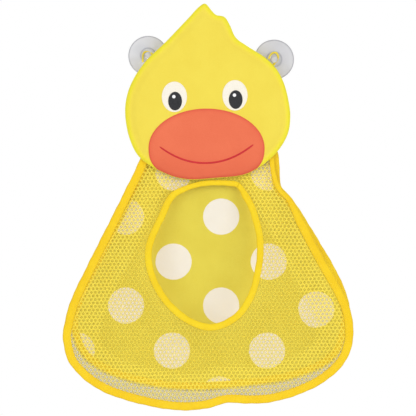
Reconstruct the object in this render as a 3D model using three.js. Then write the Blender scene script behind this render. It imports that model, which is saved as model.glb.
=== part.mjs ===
// Bath toy bag with a duck head, hung on a wall by two suction cups.
// Millimetres. X runs to the viewer's right, Y into the wall and Z up.
// The origin lies on the wall between the two cups.

import * as THREE from "three";

// Clearances between neighbouring pieces
const SEAM_GAP = 0.3;
const SLOT_GAP = 0.4;

// Head: two cloth layers round a foam pad, sewn at the rim
const HEAD_WIDTH = 185.8;
const HEAD_HEIGHT = 198.2;
const HEAD_X = -3.8;
const HEAD_Z = -38.5;
const HEAD_MIDDLE_DROP = 16;
const HEAD_BACK_Y = -23;
const HEAD_BACK_CLOTH = 0.9;
const HEAD_FRONT_CLOTH = 1.1;
const HEAD_PUFF = 6;
const HEAD_ROLL = 15;
const HEAD_CROWN = 2;
const HEAD_RIM = 1.5;
const FOAM_INSET = 5;
const HEAD_STEPS = 72;

// Face patches on the front of the head
const PATCH_THICKNESS = 0.4;
const PATCH_GAP = 0.35;
const EYE_SPACING = 68.2;
const EYE_WIDTH = 28.4;
const EYE_HEIGHT = 34.4;
const EYE_MIDDLE_X = -7.4;
const EYE_LIFT = 58.5;
const EYE_TILT = 0.85;
const PUPIL_WIDTH = 15.5;
const PUPIL_HEIGHT = 21;
const PUPIL_SHIFT = 0.8;
const PUPIL_DROP = 4.8;
const GLINT_RADIUS = 2.2;
const GLINT_SHIFT = -1.4;
const GLINT_RISE = 5;
const BEAK_X = -5.3;
const BEAK_LIFT = 35.3;
const BEAK_WIDTH = 130.5;
const BEAK_RISE = 44.4;
const BEAK_DROP = 35;
const BEAK_MARGIN = 2.5;
const SMILE_WIDTH = 105.6;
const SMILE_SAG = 19.6;
const SMILE_DROP = 16.8;
const SMILE_LINE = 1.9;

// Bag: a net front and a cloth back, joined by a gusset
const BAG_WIDTH = 325.4;
const BAG_HEIGHT = 301.8;
const BAG_X = -3.8;
const BAG_OVERLAP = 43.2;
const BAG_STEPS = 68;
const NET_THICKNESS = 1;
const BACK_CLOTH = 0.8;
const FRONT_TOP_Y = -20.7;
const BACK_TOP_Y = -14.5;
const WALL_STANDOFF = 3;
const BACK_RECEDE = 90;
const FRONT_DROP = 45;
const BAG_FLARE = 42;
const FRONT_BULGE = 9;
const TAPE_WIDTH = 9;
const TAPE_WALL = 0.8;
const TAPE_FOLD = 1.5;
const NECK_TAPE_HEIGHT = 10;
const NECK_TAPE_WALL = 1.1;
const GUSSET_THICKNESS = 1;
const GUSSET_INSET = 4;
const GUSSET_LEAST_DEPTH = 6;
const GUSSET_BOW = 3;

// Mouth in the net, and the gaps of the net
const MOUTH_WIDTH = 120;
const MOUTH_HEIGHT = 155;
const MOUTH_X = -7.9;
const MOUTH_DROP = 128.5;
const MOUTH_TAPE_WIDTH = 6.7;
const MOUTH_STEPS = 48;
const NET_PITCH = 15;
const NET_STRAND = 3;

// Suction cups and the cord loops that hold them
const CUP_RADIUS = 22.5;
const CUP_RIM = 2.2;
const CUP_LIP = 1;
const CUP_DOME = 10;
const CUP_HOLLOW = 5;
const CUP_HUB_RADIUS = 8.4;
const CUP_HUB_STEP = 1.8;
const CUP_ROUNDING = 0.7;
const CUP_NECK_RADIUS = 2;
const CUP_NECK_LENGTH = 4.5;
const CUP_KNOB_RADIUS = 4;
const CUP_KNOB_HEIGHT = 5.5;
const CUP_OFFSET = 4.2;
const CUP_STAGGER = 1.5;
const LEFT_ROOT_Z = 0.5;
const RIGHT_ROOT_Z = -5.9;
const CORD_RADIUS = 1.1;
const CORD_TURN = 4;

// Outlines in shares of half the width and half the height, clockwise from the tuft
const HEAD_SHAPE = [
  [-0.035, 1], [0.047, 0.919], [0.098, 0.873], [0.201, 0.848], [0.262, 0.764],
  [0.339, 0.613], [0.473, 0.52], [0.714, 0.372], [0.843, 0.242], [0.927, 0.083],
  [0.984, -0.133], [1, -0.28], [0.973, -0.473], [0.854, -0.671], [0.655, -0.842],
  [0.449, -0.944], [0.11, -0.985], [-0.253, -1], [-0.507, -0.938], [-0.828, -0.749],
  [-0.943, -0.553], [-1, -0.303], [-0.995, -0.11], [-0.931, 0.089], [-0.772, 0.326],
  [-0.508, 0.568], [-0.23, 0.841], [-0.105, 0.965],
];
// The mouth, clockwise from its top edge
const MOUTH_SHAPE = [
  [0.046, 1], [0.451, 0.997], [0.603, 0.952], [0.772, 0.791], [0.882, 0.604],
  [1, 0.19], [0.958, -0.225], [0.806, -0.612], [0.519, -0.886], [0.114, -1],
  [-0.325, -0.88], [-0.747, -0.559], [-0.975, -0.164], [-0.978, 0.136],
  [-0.747, 0.557], [-0.629, 0.758], [-0.536, 0.852], [-0.156, 0.968],
];
// The bag's sides in shares of half the width and of the height below the neck,
// from the left end of the neck round the bottom to the right end
const FRONT_SHAPE = [
  [-0.434, 0], [-0.466, -0.06], [-0.6, -0.212], [-0.849, -0.481], [-0.946, -0.593],
  [-0.991, -0.682], [-1, -0.734], [-0.963, -0.816], [-0.877, -0.874], [-0.735, -0.928],
  [-0.497, -0.973], [-0.213, -1], [-0.02, -0.995], [0.139, -0.973], [0.291, -0.976],
  [0.45, -0.969], [0.672, -0.932], [0.838, -0.881], [0.952, -0.816], [1, -0.742],
  [1, -0.675], [0.969, -0.604], [0.779, -0.414], [0.578, -0.214], [0.509, -0.175],
  [0.475, -0.127], [0.457, -0.063], [0.45, 0],
];
const BACK_SHAPE = [
  [-0.421, 0], [-0.448, -0.056], [-0.583, -0.212], [-0.829, -0.481], [-0.925, -0.593],
  [-0.96, -0.675], [-0.943, -0.734], [-0.898, -0.79], [-0.829, -0.831], [-0.67, -0.88],
  [-0.352, -0.924], [-0.054, -0.934], [0.291, -0.919], [0.575, -0.895], [0.824, -0.842],
  [0.914, -0.798], [0.965, -0.734], [0.986, -0.66], [0.976, -0.593], [0.91, -0.503],
  [0.768, -0.369], [0.582, -0.212], [0.513, -0.171], [0.499, -0.116], [0.492, -0.056],
  [0.471, 0],
];

// The slack side of each loop, from the rim to the top of the loop, as the cord lies:
// along the rim, out from the cup's axis, and the share of the way back to the neck
const LEFT_SLACK = [
  [-9.8, null, 0], [-8.1, 0.4, 0.16], [-6.3, 2.1, 0.5], [-4.6, 3.7, 0.84],
  [-2.7, 5.1, 1], [-0.2, 5.5, 1], [2.1, 4, 1], [3.2, 1.4, 1],
];
const RIGHT_SLACK = [
  [-4.5, null, 0], [-5.6, -2, 0.15], [-6.3, 0.6, 0.5], [-6.3, 3.3, 0.83],
  [-5.2, 5.7, 1], [-2.9, 6.9, 1], [-0.3, 6.2, 1], [1.8, 4.3, 1], [3.1, 1.7, 1],
];

// Heights that follow the head: its chin, the face on it and the bag behind it
const CHIN_Z = HEAD_Z - HEAD_HEIGHT / 2;
const BEAK_Z = CHIN_Z + BEAK_LIFT;
const EYE_Z = BEAK_Z + EYE_LIFT;
const SMILE_LOW_Z = BEAK_Z - SMILE_DROP;
const BAG_TOP_Z = CHIN_Z + BAG_OVERLAP;
const MOUTH_Z = BAG_TOP_Z - MOUTH_DROP;

// Smooth outline through the given points, as evenly spaced [x, z] samples
function smooth(points, closed, steps) {
  const corners = points.map(([x, z]) => new THREE.Vector3(x, 0, z));
  const curve = new THREE.CatmullRomCurve3(corners, closed, "centripetal");
  const samples = curve.getSpacedPoints(steps).map((p) => [p.x, p.z]);
  return closed ? samples.slice(0, steps) : samples;
}

function placed(shape, x, z, halfWidth, height) {
  return shape.map(([u, v]) => [x + u * halfWidth, z + v * height]);
}

// Unit normals on the left of the direction of travel
function normals(path, closed) {
  const last = path.length - 1;
  return path.map((point, i) => {
    const before = path[i > 0 ? i - 1 : closed ? last : 0];
    const after = path[i < last ? i + 1 : closed ? 0 : last];
    const dx = after[0] - before[0];
    const dz = after[1] - before[1];
    const size = Math.hypot(dx, dz);
    return [-dz / size, dx / size];
  });
}

function shifted(path, sides, distance) {
  return path.map(([x, z], i) => [x + sides[i][0] * distance, z + sides[i][1] * distance]);
}

// Distance from a middle point to an outline along a unit direction
function raySpan(outline, x, z, dx, dz) {
  let span = 0;
  outline.forEach(([ax, az], i) => {
    const [bx, bz] = outline[(i + 1) % outline.length];
    const ex = bx - ax;
    const ez = bz - az;
    const cross = dx * ez - dz * ex;
    if (Math.abs(cross) < 1e-9) return;
    const along = ((ax - x) * ez - (az - z) * ex) / cross;
    const share = ((ax - x) * dz - (az - z) * dx) / cross;
    if (share >= -1e-6 && share <= 1 + 1e-6) span = Math.max(span, along);
  });
  return span;
}

function ease(t) {
  const s = Math.min(1, Math.max(0, t));
  return s * s * (3 - 2 * s);
}

// A closed solid from points and triangles, turned outside out
function solid(points, triangles) {
  const geometry = new THREE.BufferGeometry();
  let volume = 0;
  for (const [a, b, c] of triangles) {
    const [p, q, r] = [points[a], points[b], points[c]];
    volume += p[0] * (q[1] * r[2] - q[2] * r[1]);
    volume += p[1] * (q[2] * r[0] - q[0] * r[2]);
    volume += p[2] * (q[0] * r[1] - q[1] * r[0]);
  }
  const faces = volume < 0 ? triangles.map(([a, b, c]) => [a, c, b]) : triangles;
  geometry.setAttribute("position", new THREE.Float32BufferAttribute(points.flat(), 3));
  geometry.setIndex(faces.flat());
  geometry.computeVertexNormals();
  return geometry;
}

function quad(a, b, c, d) {
  return [[a, b, c], [a, c, d]];
}

// A domed slab between two height fields, on rings that shrink to a middle point
function domedSlab(outline, x, z, insets, shares, backAt, frontAt) {
  const toward = (inset, share) => outline.map(([px, pz]) => {
    const size = Math.hypot(px - x, pz - z);
    const keep = share * Math.max(0.05, (size - inset) / size);
    return [x + (px - x) * keep, z + (pz - z) * keep];
  });
  const rings = [...insets.map((d) => toward(d, 1)), ...shares.map((s) => toward(0, s))];
  const flat = [...rings.flat(), [x, z]];
  const count = outline.length;
  const points = [];
  for (const field of [backAt, frontAt]) {
    for (const [px, pz] of flat) points.push([px, field(px, pz), pz]);
  }
  const front = flat.length;
  const triangles = [];
  for (let i = 0; i < count; i += 1) {
    const j = (i + 1) % count;
    for (let k = 0; k + 1 < rings.length; k += 1) {
      const [a, b] = [k * count + i, k * count + j];
      triangles.push(...quad(a, b, b + count, a + count));
      triangles.push(...quad(front + a, front + a + count, front + b + count, front + b));
    }
    const inner = (rings.length - 1) * count;
    triangles.push([inner + i, inner + j, front - 1]);
    triangles.push([front + inner + j, front + inner + i, 2 * front - 1]);
    triangles.push(...quad(i, front + i, front + j, j));
  }
  return solid(points, triangles);
}

// The same triangulation with its long thin triangles turned into stout ones
function evened(flat, faces) {
  const angle = (p, a, b) => {
    const [ux, uz] = [flat[a][0] - flat[p][0], flat[a][1] - flat[p][1]];
    const [vx, vz] = [flat[b][0] - flat[p][0], flat[b][1] - flat[p][1]];
    return Math.abs(Math.atan2(ux * vz - uz * vx, ux * vx + uz * vz));
  };
  const even = faces.map((face) => [...face]);
  for (let pass = 0, turns = 1; pass < 60 && turns > 0; pass += 1) {
    turns = 0;
    const owners = new Map();
    even.forEach((face, t) => face.forEach((a, k) => {
      const b = face[(k + 1) % 3];
      const key = a < b ? `${a} ${b}` : `${b} ${a}`;
      owners.set(key, [...(owners.get(key) ?? []), [t, face[(k + 2) % 3], a, b]]);
    }));
    const done = new Set();
    for (const pair of owners.values()) {
      if (pair.length < 2 || done.has(pair[0][0]) || done.has(pair[1][0])) continue;
      const [[s, c, a, b], [t, d]] = pair;
      if (angle(c, a, b) + angle(d, a, b) < Math.PI + 1e-6) continue;
      even[s] = [a, d, c];
      even[t] = [d, b, c];
      done.add(s).add(t);
      turns += 1;
    }
  }
  return even;
}

// A sheet with holes, cut flat and then laid on a height field
function cutSheet(contour, holes, thickness, heightAt) {
  const vectors = (loop) => loop.map(([x, z]) => new THREE.Vector2(x, z));
  const turned = (loop, clockwise) => {
    const same = THREE.ShapeUtils.isClockWise(vectors(loop)) === clockwise;
    return same ? loop : [...loop].reverse();
  };
  const loops = [turned(contour, false), ...holes.map((hole) => turned(hole, true))];
  const [rim, ...cuts] = loops.map(vectors);
  const flat = loops.flat();
  const faces = evened(flat, THREE.ShapeUtils.triangulateShape(rim, cuts));
  const points = [];
  for (const side of [-0.5, 0.5]) {
    for (const [x, z] of flat) points.push([x, heightAt(x, z) + side * thickness, z]);
  }
  const top = flat.length;
  const triangles = [];
  for (const [a, b, c] of faces) triangles.push([a, b, c], [top + a, top + c, top + b]);
  let start = 0;
  for (const loop of loops) {
    for (let i = 0; i < loop.length; i += 1) {
      const a = start + i;
      const b = start + ((i + 1) % loop.length);
      triangles.push(...quad(b, a, top + a, top + b));
    }
    start += loop.length;
  }
  return solid(points, triangles);
}

// A tape folded over the edge of a sheet. The path is the tape's closed edge,
// and the sheet lies on the side that the normals point to.
function foldedTape(path, sides, closed, width, slotHalf, heightAt) {
  const half = slotHalf + TAPE_WALL;
  const section = [
    [0, -half], [width, -half], [width, -slotHalf], [TAPE_FOLD, -slotHalf],
    [TAPE_FOLD, slotHalf], [width, slotHalf], [width, half], [0, half],
  ];
  const points = [];
  path.forEach(([x, z], i) => {
    for (const [along, rise] of section) {
      const px = x + sides[i][0] * along;
      const pz = z + sides[i][1] * along;
      points.push([px, heightAt(px, pz) + rise, pz]);
    }
  });
  const size = section.length;
  const triangles = [];
  const spans = closed ? path.length : path.length - 1;
  for (let i = 0; i < spans; i += 1) {
    const [a, b] = [i * size, ((i + 1) % path.length) * size];
    for (let k = 0; k < size; k += 1) {
      const n = (k + 1) % size;
      triangles.push(...quad(a + k, a + n, b + n, b + k));
    }
  }
  if (!closed) {
    const face = section.map(([u, v]) => new THREE.Vector2(u, v));
    const end = (path.length - 1) * size;
    for (const [p, q, r] of THREE.ShapeUtils.triangulateShape(face, [])) {
      triangles.push([r, q, p], [end + p, end + q, end + r]);
    }
  }
  return solid(points, triangles);
}

// A thin sheet over a grid of middle points, thickened along one normal per row
function thickGrid(rows, across, thickness) {
  const columns = rows[0].length;
  const points = [];
  for (const side of [-0.5, 0.5]) {
    rows.forEach((row, i) => {
      for (const [x, y, z] of row) {
        points.push([
          x + across[i][0] * side * thickness,
          y,
          z + across[i][1] * side * thickness,
        ]);
      }
    });
  }
  const top = rows.length * columns;
  const at = (i, j) => i * columns + j;
  const triangles = [];
  for (let i = 0; i + 1 < rows.length; i += 1) {
    for (let j = 0; j + 1 < columns; j += 1) {
      const corners = [at(i, j), at(i, j + 1), at(i + 1, j + 1), at(i + 1, j)];
      triangles.push(...quad(...corners));
      triangles.push(...quad(...corners.map((n) => n + top).reverse()));
    }
  }
  const rim = [];
  for (let j = 0; j + 1 < columns; j += 1) rim.push(at(0, j));
  for (let i = 0; i + 1 < rows.length; i += 1) rim.push(at(i, columns - 1));
  for (let j = columns - 1; j > 0; j -= 1) rim.push(at(rows.length - 1, j));
  for (let i = rows.length - 1; i > 0; i -= 1) rim.push(at(i, 0));
  rim.forEach((a, i) => {
    const b = rim[(i + 1) % rim.length];
    triangles.push(...quad(b, a, a + top, b + top));
  });
  return solid(points, triangles);
}

// A round cord along a curve, with half-round ends
function roundCord(curve, radius, steps, sides) {
  const frames = curve.computeFrenetFrames(steps, false);
  const rings = [];
  const ring = (centre, i, size, shift) => {
    const middle = centre.clone().addScaledVector(frames.tangents[i], shift);
    rings.push([...Array(sides).keys()].map((k) => {
      const turn = (2 * Math.PI * k) / sides;
      return middle.clone()
        .addScaledVector(frames.normals[i], size * Math.cos(turn))
        .addScaledVector(frames.binormals[i], size * Math.sin(turn))
        .toArray();
    }));
  };
  const slope = Math.SQRT1_2 * radius;
  ring(curve.getPointAt(0), 0, slope, -slope);
  for (let i = 0; i <= steps; i += 1) ring(curve.getPointAt(i / steps), i, radius, 0);
  ring(curve.getPointAt(1), steps, slope, slope);
  const tips = [0, steps].map((i) => {
    const tip = curve.getPointAt(i / steps);
    return tip.addScaledVector(frames.tangents[i], i === 0 ? -radius : radius).toArray();
  });
  const points = [...rings.flat(), ...tips];
  const first = rings.length * sides;
  const triangles = [];
  for (let k = 0; k < sides; k += 1) {
    const n = (k + 1) % sides;
    for (let i = 0; i + 1 < rings.length; i += 1) {
      const [a, b] = [i * sides, (i + 1) * sides];
      triangles.push(...quad(a + k, a + n, b + n, b + k));
    }
    triangles.push([first, n, k]);
    triangles.push([first + 1, first - sides + k, first - sides + n]);
  }
  return solid(points, triangles);
}

// The head's surfaces
const headEdge = HEAD_BACK_CLOTH + SEAM_GAP + HEAD_FRONT_CLOTH;
const headShape = placed(HEAD_SHAPE, HEAD_X, HEAD_Z, HEAD_WIDTH / 2, HEAD_HEIGHT / 2);
const headOutline = smooth(headShape, true, HEAD_STEPS);
const headMiddle = [HEAD_X, HEAD_Z - HEAD_MIDDLE_DROP];

function headFront(x, z) {
  const dx = x - headMiddle[0];
  const dz = z - headMiddle[1];
  const far = Math.max(1e-6, Math.hypot(dx, dz));
  const rim = raySpan(headOutline, ...headMiddle, dx / far, dz / far);
  const roll = Math.min(1, Math.max(0, rim - far) / HEAD_ROLL);
  const dome = Math.sqrt(1 - (1 - roll) ** 2);
  const crown = Math.max(0, 1 - (far / rim) ** 2);
  return HEAD_BACK_Y - headEdge - HEAD_PUFF * dome - HEAD_CROWN * crown;
}

function headLining(x, z) {
  return headFront(x, z) + HEAD_FRONT_CLOTH;
}

// A flat patch that follows the head's front, a number of layers above it
function patchLevel(layer) {
  const back = (layer + 1) * PATCH_GAP + layer * PATCH_THICKNESS;
  return [
    (x, z) => headFront(x, z) - back,
    (x, z) => headFront(x, z) - back - PATCH_THICKNESS,
  ];
}

function ellipse(x, z, halfWidth, halfHeight, steps) {
  const curve = new THREE.EllipseCurve(x, z, halfWidth, halfHeight);
  return curve.getPoints(steps).slice(0, steps).map((p) => [p.x, p.y]);
}

function patch(outline, x, z, shares, layer) {
  return domedSlab(outline, x, z, [0], shares, ...patchLevel(layer));
}

// The beak: an oval with a squarer lower half, kept inside the head's rim
function beakOutline(steps) {
  return [...Array(steps).keys()].map((k) => {
    const turn = (2 * Math.PI * k) / steps;
    const [dx, dz] = [Math.cos(turn), Math.sin(turn)];
    const [height, power] = dz > 0 ? [BEAK_RISE, 2] : [BEAK_DROP, 2.6];
    const sum = Math.abs((2 * dx) / BEAK_WIDTH) ** power + Math.abs(dz / height) ** power;
    const room = raySpan(headOutline, BEAK_X, BEAK_Z, dx, dz) - BEAK_MARGIN;
    const reach = Math.min(sum ** (-1 / power), room);
    return [BEAK_X + dx * reach, BEAK_Z + dz * reach];
  });
}

// The smile: a narrow strip that sags between its ends
function smileStrip(steps) {
  const path = [...Array(steps + 1).keys()].map((k) => {
    const side = (2 * k) / steps - 1;
    return [BEAK_X + (side * SMILE_WIDTH) / 2, SMILE_LOW_Z + SMILE_SAG * Math.abs(side) ** 2.1];
  });
  const sides = normals(path, false);
  const contour = [
    ...shifted(path, sides, -SMILE_LINE / 2),
    ...shifted(path, sides, SMILE_LINE / 2).reverse(),
  ];
  const [back, front] = patchLevel(1);
  return cutSheet(contour, [], PATCH_THICKNESS, (x, z) => (back(x, z) + front(x, z)) / 2);
}

// The bag's surfaces, by the drop below the neck
function frontHeight(x, z) {
  const fall = (BAG_TOP_Z - z - FRONT_DROP) / (BAG_HEIGHT - FRONT_DROP);
  const share = ease(fall);
  const across = 1 - ((x - BAG_X) / (BAG_WIDTH / 2)) ** 2;
  const bulge = FRONT_BULGE * Math.sin(Math.PI * Math.min(1, Math.max(0, fall))) ** 2;
  return FRONT_TOP_Y - BAG_FLARE * share - bulge * across;
}

function backHeight(x, z) {
  const share = ease((BAG_TOP_Z - NECK_TAPE_HEIGHT - z) / BACK_RECEDE);
  return BACK_TOP_Y + (-WALL_STANDOFF - BACK_TOP_Y) * share;
}

function bagSide(shape) {
  const path = smooth(placed(shape, BAG_X, BAG_TOP_Z, BAG_WIDTH / 2, BAG_HEIGHT), false, BAG_STEPS);
  return { path, sides: normals(path, false) };
}

// The part of a side that lies below the neck tape
function belowNeck({ path, sides }) {
  const level = BAG_TOP_Z - NECK_TAPE_HEIGHT - SEAM_GAP;
  const cut = { path: [], sides: [] };
  path.forEach((point, i) => {
    const next = path[i + 1];
    if (point[1] < level) {
      cut.path.push(point);
      cut.sides.push(sides[i]);
    }
    if (next && point[1] < level !== next[1] < level) {
      const share = (level - point[1]) / (next[1] - point[1]);
      cut.path.push([point[0] + share * (next[0] - point[0]), level]);
      cut.sides.push(point[1] < level ? sides[i] : sides[i + 1]);
    }
  });
  return cut;
}

// A panel's cut: the seated edge of its sides, closed along the neck
function panelContour({ path, sides }) {
  const seated = shifted(path, sides, TAPE_FOLD + SLOT_GAP);
  const count = 8;
  const [left, right] = [seated[0], seated[seated.length - 1]];
  for (let k = 1; k < count; k += 1) {
    const share = k / count;
    seated.push([right[0] + share * (left[0] - right[0]), BAG_TOP_Z]);
  }
  return seated;
}

function inside(loop, x, z) {
  let odd = false;
  loop.forEach(([ax, az], i) => {
    const [bx, bz] = loop[(i + 1) % loop.length];
    if (az > z !== bz > z && x < ax + ((z - az) / (bz - az)) * (bx - ax)) odd = !odd;
  });
  return odd;
}

function nearest(path, x, z) {
  return Math.min(...path.map(([px, pz]) => Math.hypot(px - x, pz - z)));
}

const front = bagSide(FRONT_SHAPE);
const back = bagSide(BACK_SHAPE);
const frontContour = panelContour(front);
const backContour = panelContour(back);
const mouthShape = placed(MOUTH_SHAPE, MOUTH_X, MOUTH_Z, MOUTH_WIDTH / 2, MOUTH_HEIGHT / 2);
const mouthPath = smooth(mouthShape, true, MOUTH_STEPS);
const mouthSides = normals(mouthPath, true);
const mouthCut = shifted(mouthPath, mouthSides, TAPE_FOLD + SLOT_GAP);

// Six-sided gaps in staggered rows, wherever the net is clear of its tapes
function netGaps() {
  const radius = (NET_PITCH - NET_STRAND) / Math.sqrt(3);
  const rise = (NET_PITCH * Math.sqrt(3)) / 2;
  const rim = TAPE_WIDTH + radius;
  const gaps = [];
  const rows = Math.ceil(BAG_HEIGHT / rise);
  const columns = Math.ceil(BAG_WIDTH / NET_PITCH);
  for (let row = 0; row <= rows; row += 1) {
    const z = BAG_TOP_Z - row * rise;
    if (z > BAG_TOP_Z - NECK_TAPE_HEIGHT - radius - NET_STRAND) continue;
    for (let column = 0; column <= columns; column += 1) {
      const x = BAG_X + (column - columns / 2 + (row % 2) / 2) * NET_PITCH;
      const clear = inside(frontContour, x, z) && nearest(front.path, x, z) > rim;
      const mouth = inside(mouthCut, x, z);
      if (!clear || mouth || nearest(mouthPath, x, z) < MOUTH_TAPE_WIDTH + radius) continue;
      gaps.push([...Array(6).keys()].map((k) => {
        const turn = ((k + 0.5) * Math.PI) / 3;
        return [x + radius * Math.cos(turn), z + radius * Math.sin(turn)];
      }));
    }
  }
  return gaps;
}

// The gusset runs between the two tapes wherever the bag is deep enough
function gussetStrip() {
  const rows = [];
  const across = [];
  const netSeat = NET_THICKNESS / 2 + SLOT_GAP + TAPE_WALL + SEAM_GAP;
  const backSeat = BACK_CLOTH / 2 + SLOT_GAP + TAPE_WALL + SEAM_GAP;
  front.path.forEach((point, i) => {
    const [fx, fz] = shifted([point], [front.sides[i]], GUSSET_INSET)[0];
    const [bx, bz] = shifted([back.path[i]], [back.sides[i]], GUSSET_INSET)[0];
    const near = frontHeight(fx, fz) + netSeat;
    const far = backHeight(bx, bz) - backSeat;
    if (far - near < GUSSET_LEAST_DEPTH) return;
    const bow = GUSSET_BOW * Math.min(1, (far - near) / BAG_FLARE);
    rows.push([0, 0.35, 0.7, 1].map((t) => {
      const out = -bow * Math.sin(Math.PI * t);
      return [
        fx + t * (bx - fx) + out * front.sides[i][0],
        near + t * (far - near),
        fz + t * (bz - fz) + out * front.sides[i][1],
      ];
    }));
    across.push(front.sides[i]);
  });
  return thickGrid(rows, across, GUSSET_THICKNESS);
}

// The neck tape: an upside-down channel over the top edges of net and back
function neckTape() {
  const frontFace = FRONT_TOP_Y - NET_THICKNESS / 2 - SEAM_GAP;
  const backFace = BACK_TOP_Y + BACK_CLOTH / 2 + SEAM_GAP;
  const roof = BAG_TOP_Z + SEAM_GAP;
  const foot = BAG_TOP_Z - NECK_TAPE_HEIGHT;
  const profile = new THREE.Shape([
    [frontFace - NECK_TAPE_WALL, foot], [frontFace, foot], [frontFace, roof],
    [backFace, roof], [backFace, foot], [backFace + NECK_TAPE_WALL, foot],
    [backFace + NECK_TAPE_WALL, roof + NECK_TAPE_WALL],
    [frontFace - NECK_TAPE_WALL, roof + NECK_TAPE_WALL],
  ].map(([y, z]) => new THREE.Vector2(y, z)));
  const ends = [frontContour, backContour].map((c) => c.filter(([, z]) => z > foot));
  const left = Math.min(...ends.flat().map(([x]) => x));
  const right = Math.max(...ends.flat().map(([x]) => x));
  const tape = new THREE.ExtrudeGeometry(profile, { depth: right - left, bevelEnabled: false });
  const turn = new THREE.Matrix4().makeBasis(
    new THREE.Vector3(0, 1, 0),
    new THREE.Vector3(0, 0, 1),
    new THREE.Vector3(1, 0, 0),
  );
  return tape.applyMatrix4(turn).translate(left, 0, 0);
}

// A suction cup, turned about its own axis, with its rim on the wall
function suctionCup(x, z) {
  const neckEnd = CUP_DOME + CUP_NECK_LENGTH;
  const knobEnd = neckEnd + CUP_KNOB_HEIGHT;
  const shoulder = CUP_DOME - CUP_HUB_STEP;
  const skirt = [0.25, 0.5, 0.75].map((share) => [
    CUP_HUB_RADIUS + share * (CUP_RADIUS - CUP_HUB_RADIUS),
    CUP_LIP + (1 - share) ** 1.3 * (shoulder - CUP_LIP),
  ]);
  const hollow = [0.75, 0.5, 0.25].map((share) => [
    share * (CUP_RADIUS - CUP_RIM),
    (1 - share ** 1.8) * CUP_HOLLOW,
  ]);
  const profile = [
    [0, knobEnd], [CUP_KNOB_RADIUS - 2 * CUP_ROUNDING, knobEnd],
    [CUP_KNOB_RADIUS - CUP_ROUNDING / 2, knobEnd - CUP_ROUNDING],
    [CUP_KNOB_RADIUS, knobEnd - 3 * CUP_ROUNDING], [CUP_KNOB_RADIUS, neckEnd + CUP_ROUNDING],
    [CUP_KNOB_RADIUS - CUP_ROUNDING, neckEnd], [CUP_NECK_RADIUS, neckEnd],
    [CUP_NECK_RADIUS, CUP_DOME + CUP_ROUNDING], [CUP_NECK_RADIUS + CUP_ROUNDING, CUP_DOME],
    [CUP_HUB_RADIUS - CUP_ROUNDING, CUP_DOME], [CUP_HUB_RADIUS, CUP_DOME - CUP_ROUNDING],
    [CUP_HUB_RADIUS, shoulder], ...skirt, [CUP_RADIUS, CUP_LIP], [CUP_RADIUS, 0],
    [CUP_RADIUS - CUP_RIM, 0], ...hollow, [0, CUP_HOLLOW],
  ];
  const cup = new THREE.LatheGeometry(profile.map(([r, d]) => new THREE.Vector2(r, -d)), 32);
  return cup.translate(x, 0, z);
}

// Where a loop leaves the head's rim, and where its cup hangs
function hanger(side, rootZ) {
  const sides = normals(headOutline, true);
  const onSide = headOutline.map((p, i) => [p, i]).filter(([p]) => side * (p[0] - HEAD_X) > 0);
  const order = onSide.sort((a, b) => Math.abs(a[0][1] - rootZ) - Math.abs(b[0][1] - rootZ));
  const [above, below] = [order[0], order[1]];
  const share = (rootZ - above[0][1]) / (below[0][1] - above[0][1]);
  const rootX = above[0][0] + share * (below[0][0] - above[0][0]);
  const blend = [0, 1].map((k) => (1 - share) * sides[above[1]][k] + share * sides[below[1]][k]);
  const size = Math.hypot(...blend);
  const out = [blend[0] / size, blend[1] / size];
  const offset = CUP_OFFSET + side * CUP_STAGGER;
  return { root: [rootX, rootZ], out, offset, cup: shifted([[rootX, rootZ]], [out], offset)[0] };
}

// A loop from the rim, round the neck of its cup, and back behind the knob to the rim
function cordLoop({ out, cup, offset }, slack) {
  const rootY = HEAD_BACK_Y - headEdge / 2;
  const neckY = -(CUP_DOME + CUP_NECK_LENGTH / 2);
  const seat = CORD_RADIUS + SEAM_GAP;
  const root = seat - offset;
  const beside = CUP_NECK_RADIUS + seat;
  const within = -(CUP_KNOB_RADIUS + seat);
  const lay = slack.map(([along, outward, share]) => [
    along,
    outward ?? root,
    rootY + share * (neckY - rootY),
  ]);
  const turnEnd = neckY - CORD_TURN;
  const bend = [0, 1 / 6, 1 / 3, 1 / 2].map((share) => [
    beside,
    within + CORD_TURN * (1 - Math.sin(Math.PI * share)),
    neckY - CORD_TURN * (1 - Math.cos(Math.PI * share)),
  ]);
  const rise = [0.25, 0.5, 0.75, 1].map((share) => [
    beside + CORD_RADIUS * share,
    within + (root - within) * ease(1.25 * share),
    turnEnd + (rootY - turnEnd) * share,
  ]);
  const points = [...lay, ...bend, ...rise].map(([along, outward, y]) => new THREE.Vector3(
    cup[0] + out[0] * outward + out[1] * along,
    y,
    cup[1] + out[1] * outward - out[0] * along,
  ));
  const curve = new THREE.CatmullRomCurve3(points, false, "centripetal");
  return roundCord(curve, CORD_RADIUS, 48, 8);
}

const part = new THREE.Group();
part.name = "bath_toy_bag";

function piece(name, geometry, color, roughness, metalness = 0) {
  const material = new THREE.MeshStandardMaterial({ color, roughness, metalness });
  const mesh = new THREE.Mesh(geometry, material);
  mesh.name = name;
  part.add(mesh);
}

// Head
const headBackFront = HEAD_BACK_Y - HEAD_BACK_CLOTH;
piece(
  "head_back_panel",
  cutSheet(headOutline, [], HEAD_BACK_CLOTH, () => (HEAD_BACK_Y + headBackFront) / 2),
  0xf0da4c,
  0.85,
);
piece(
  "head_foam_pad",
  domedSlab(
    headOutline,
    ...headMiddle,
    [FOAM_INSET, HEAD_ROLL],
    [0.5],
    () => headBackFront - SEAM_GAP,
    (x, z) => headLining(x, z) + SEAM_GAP,
  ),
  0xf5efd8,
  0.95,
);
piece(
  "head_front_panel",
  domedSlab(
    headOutline,
    ...headMiddle,
    [0, HEAD_RIM, FOAM_INSET, HEAD_ROLL],
    [0.5],
    headLining,
    headFront,
  ),
  0xf8e455,
  0.8,
);

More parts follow.
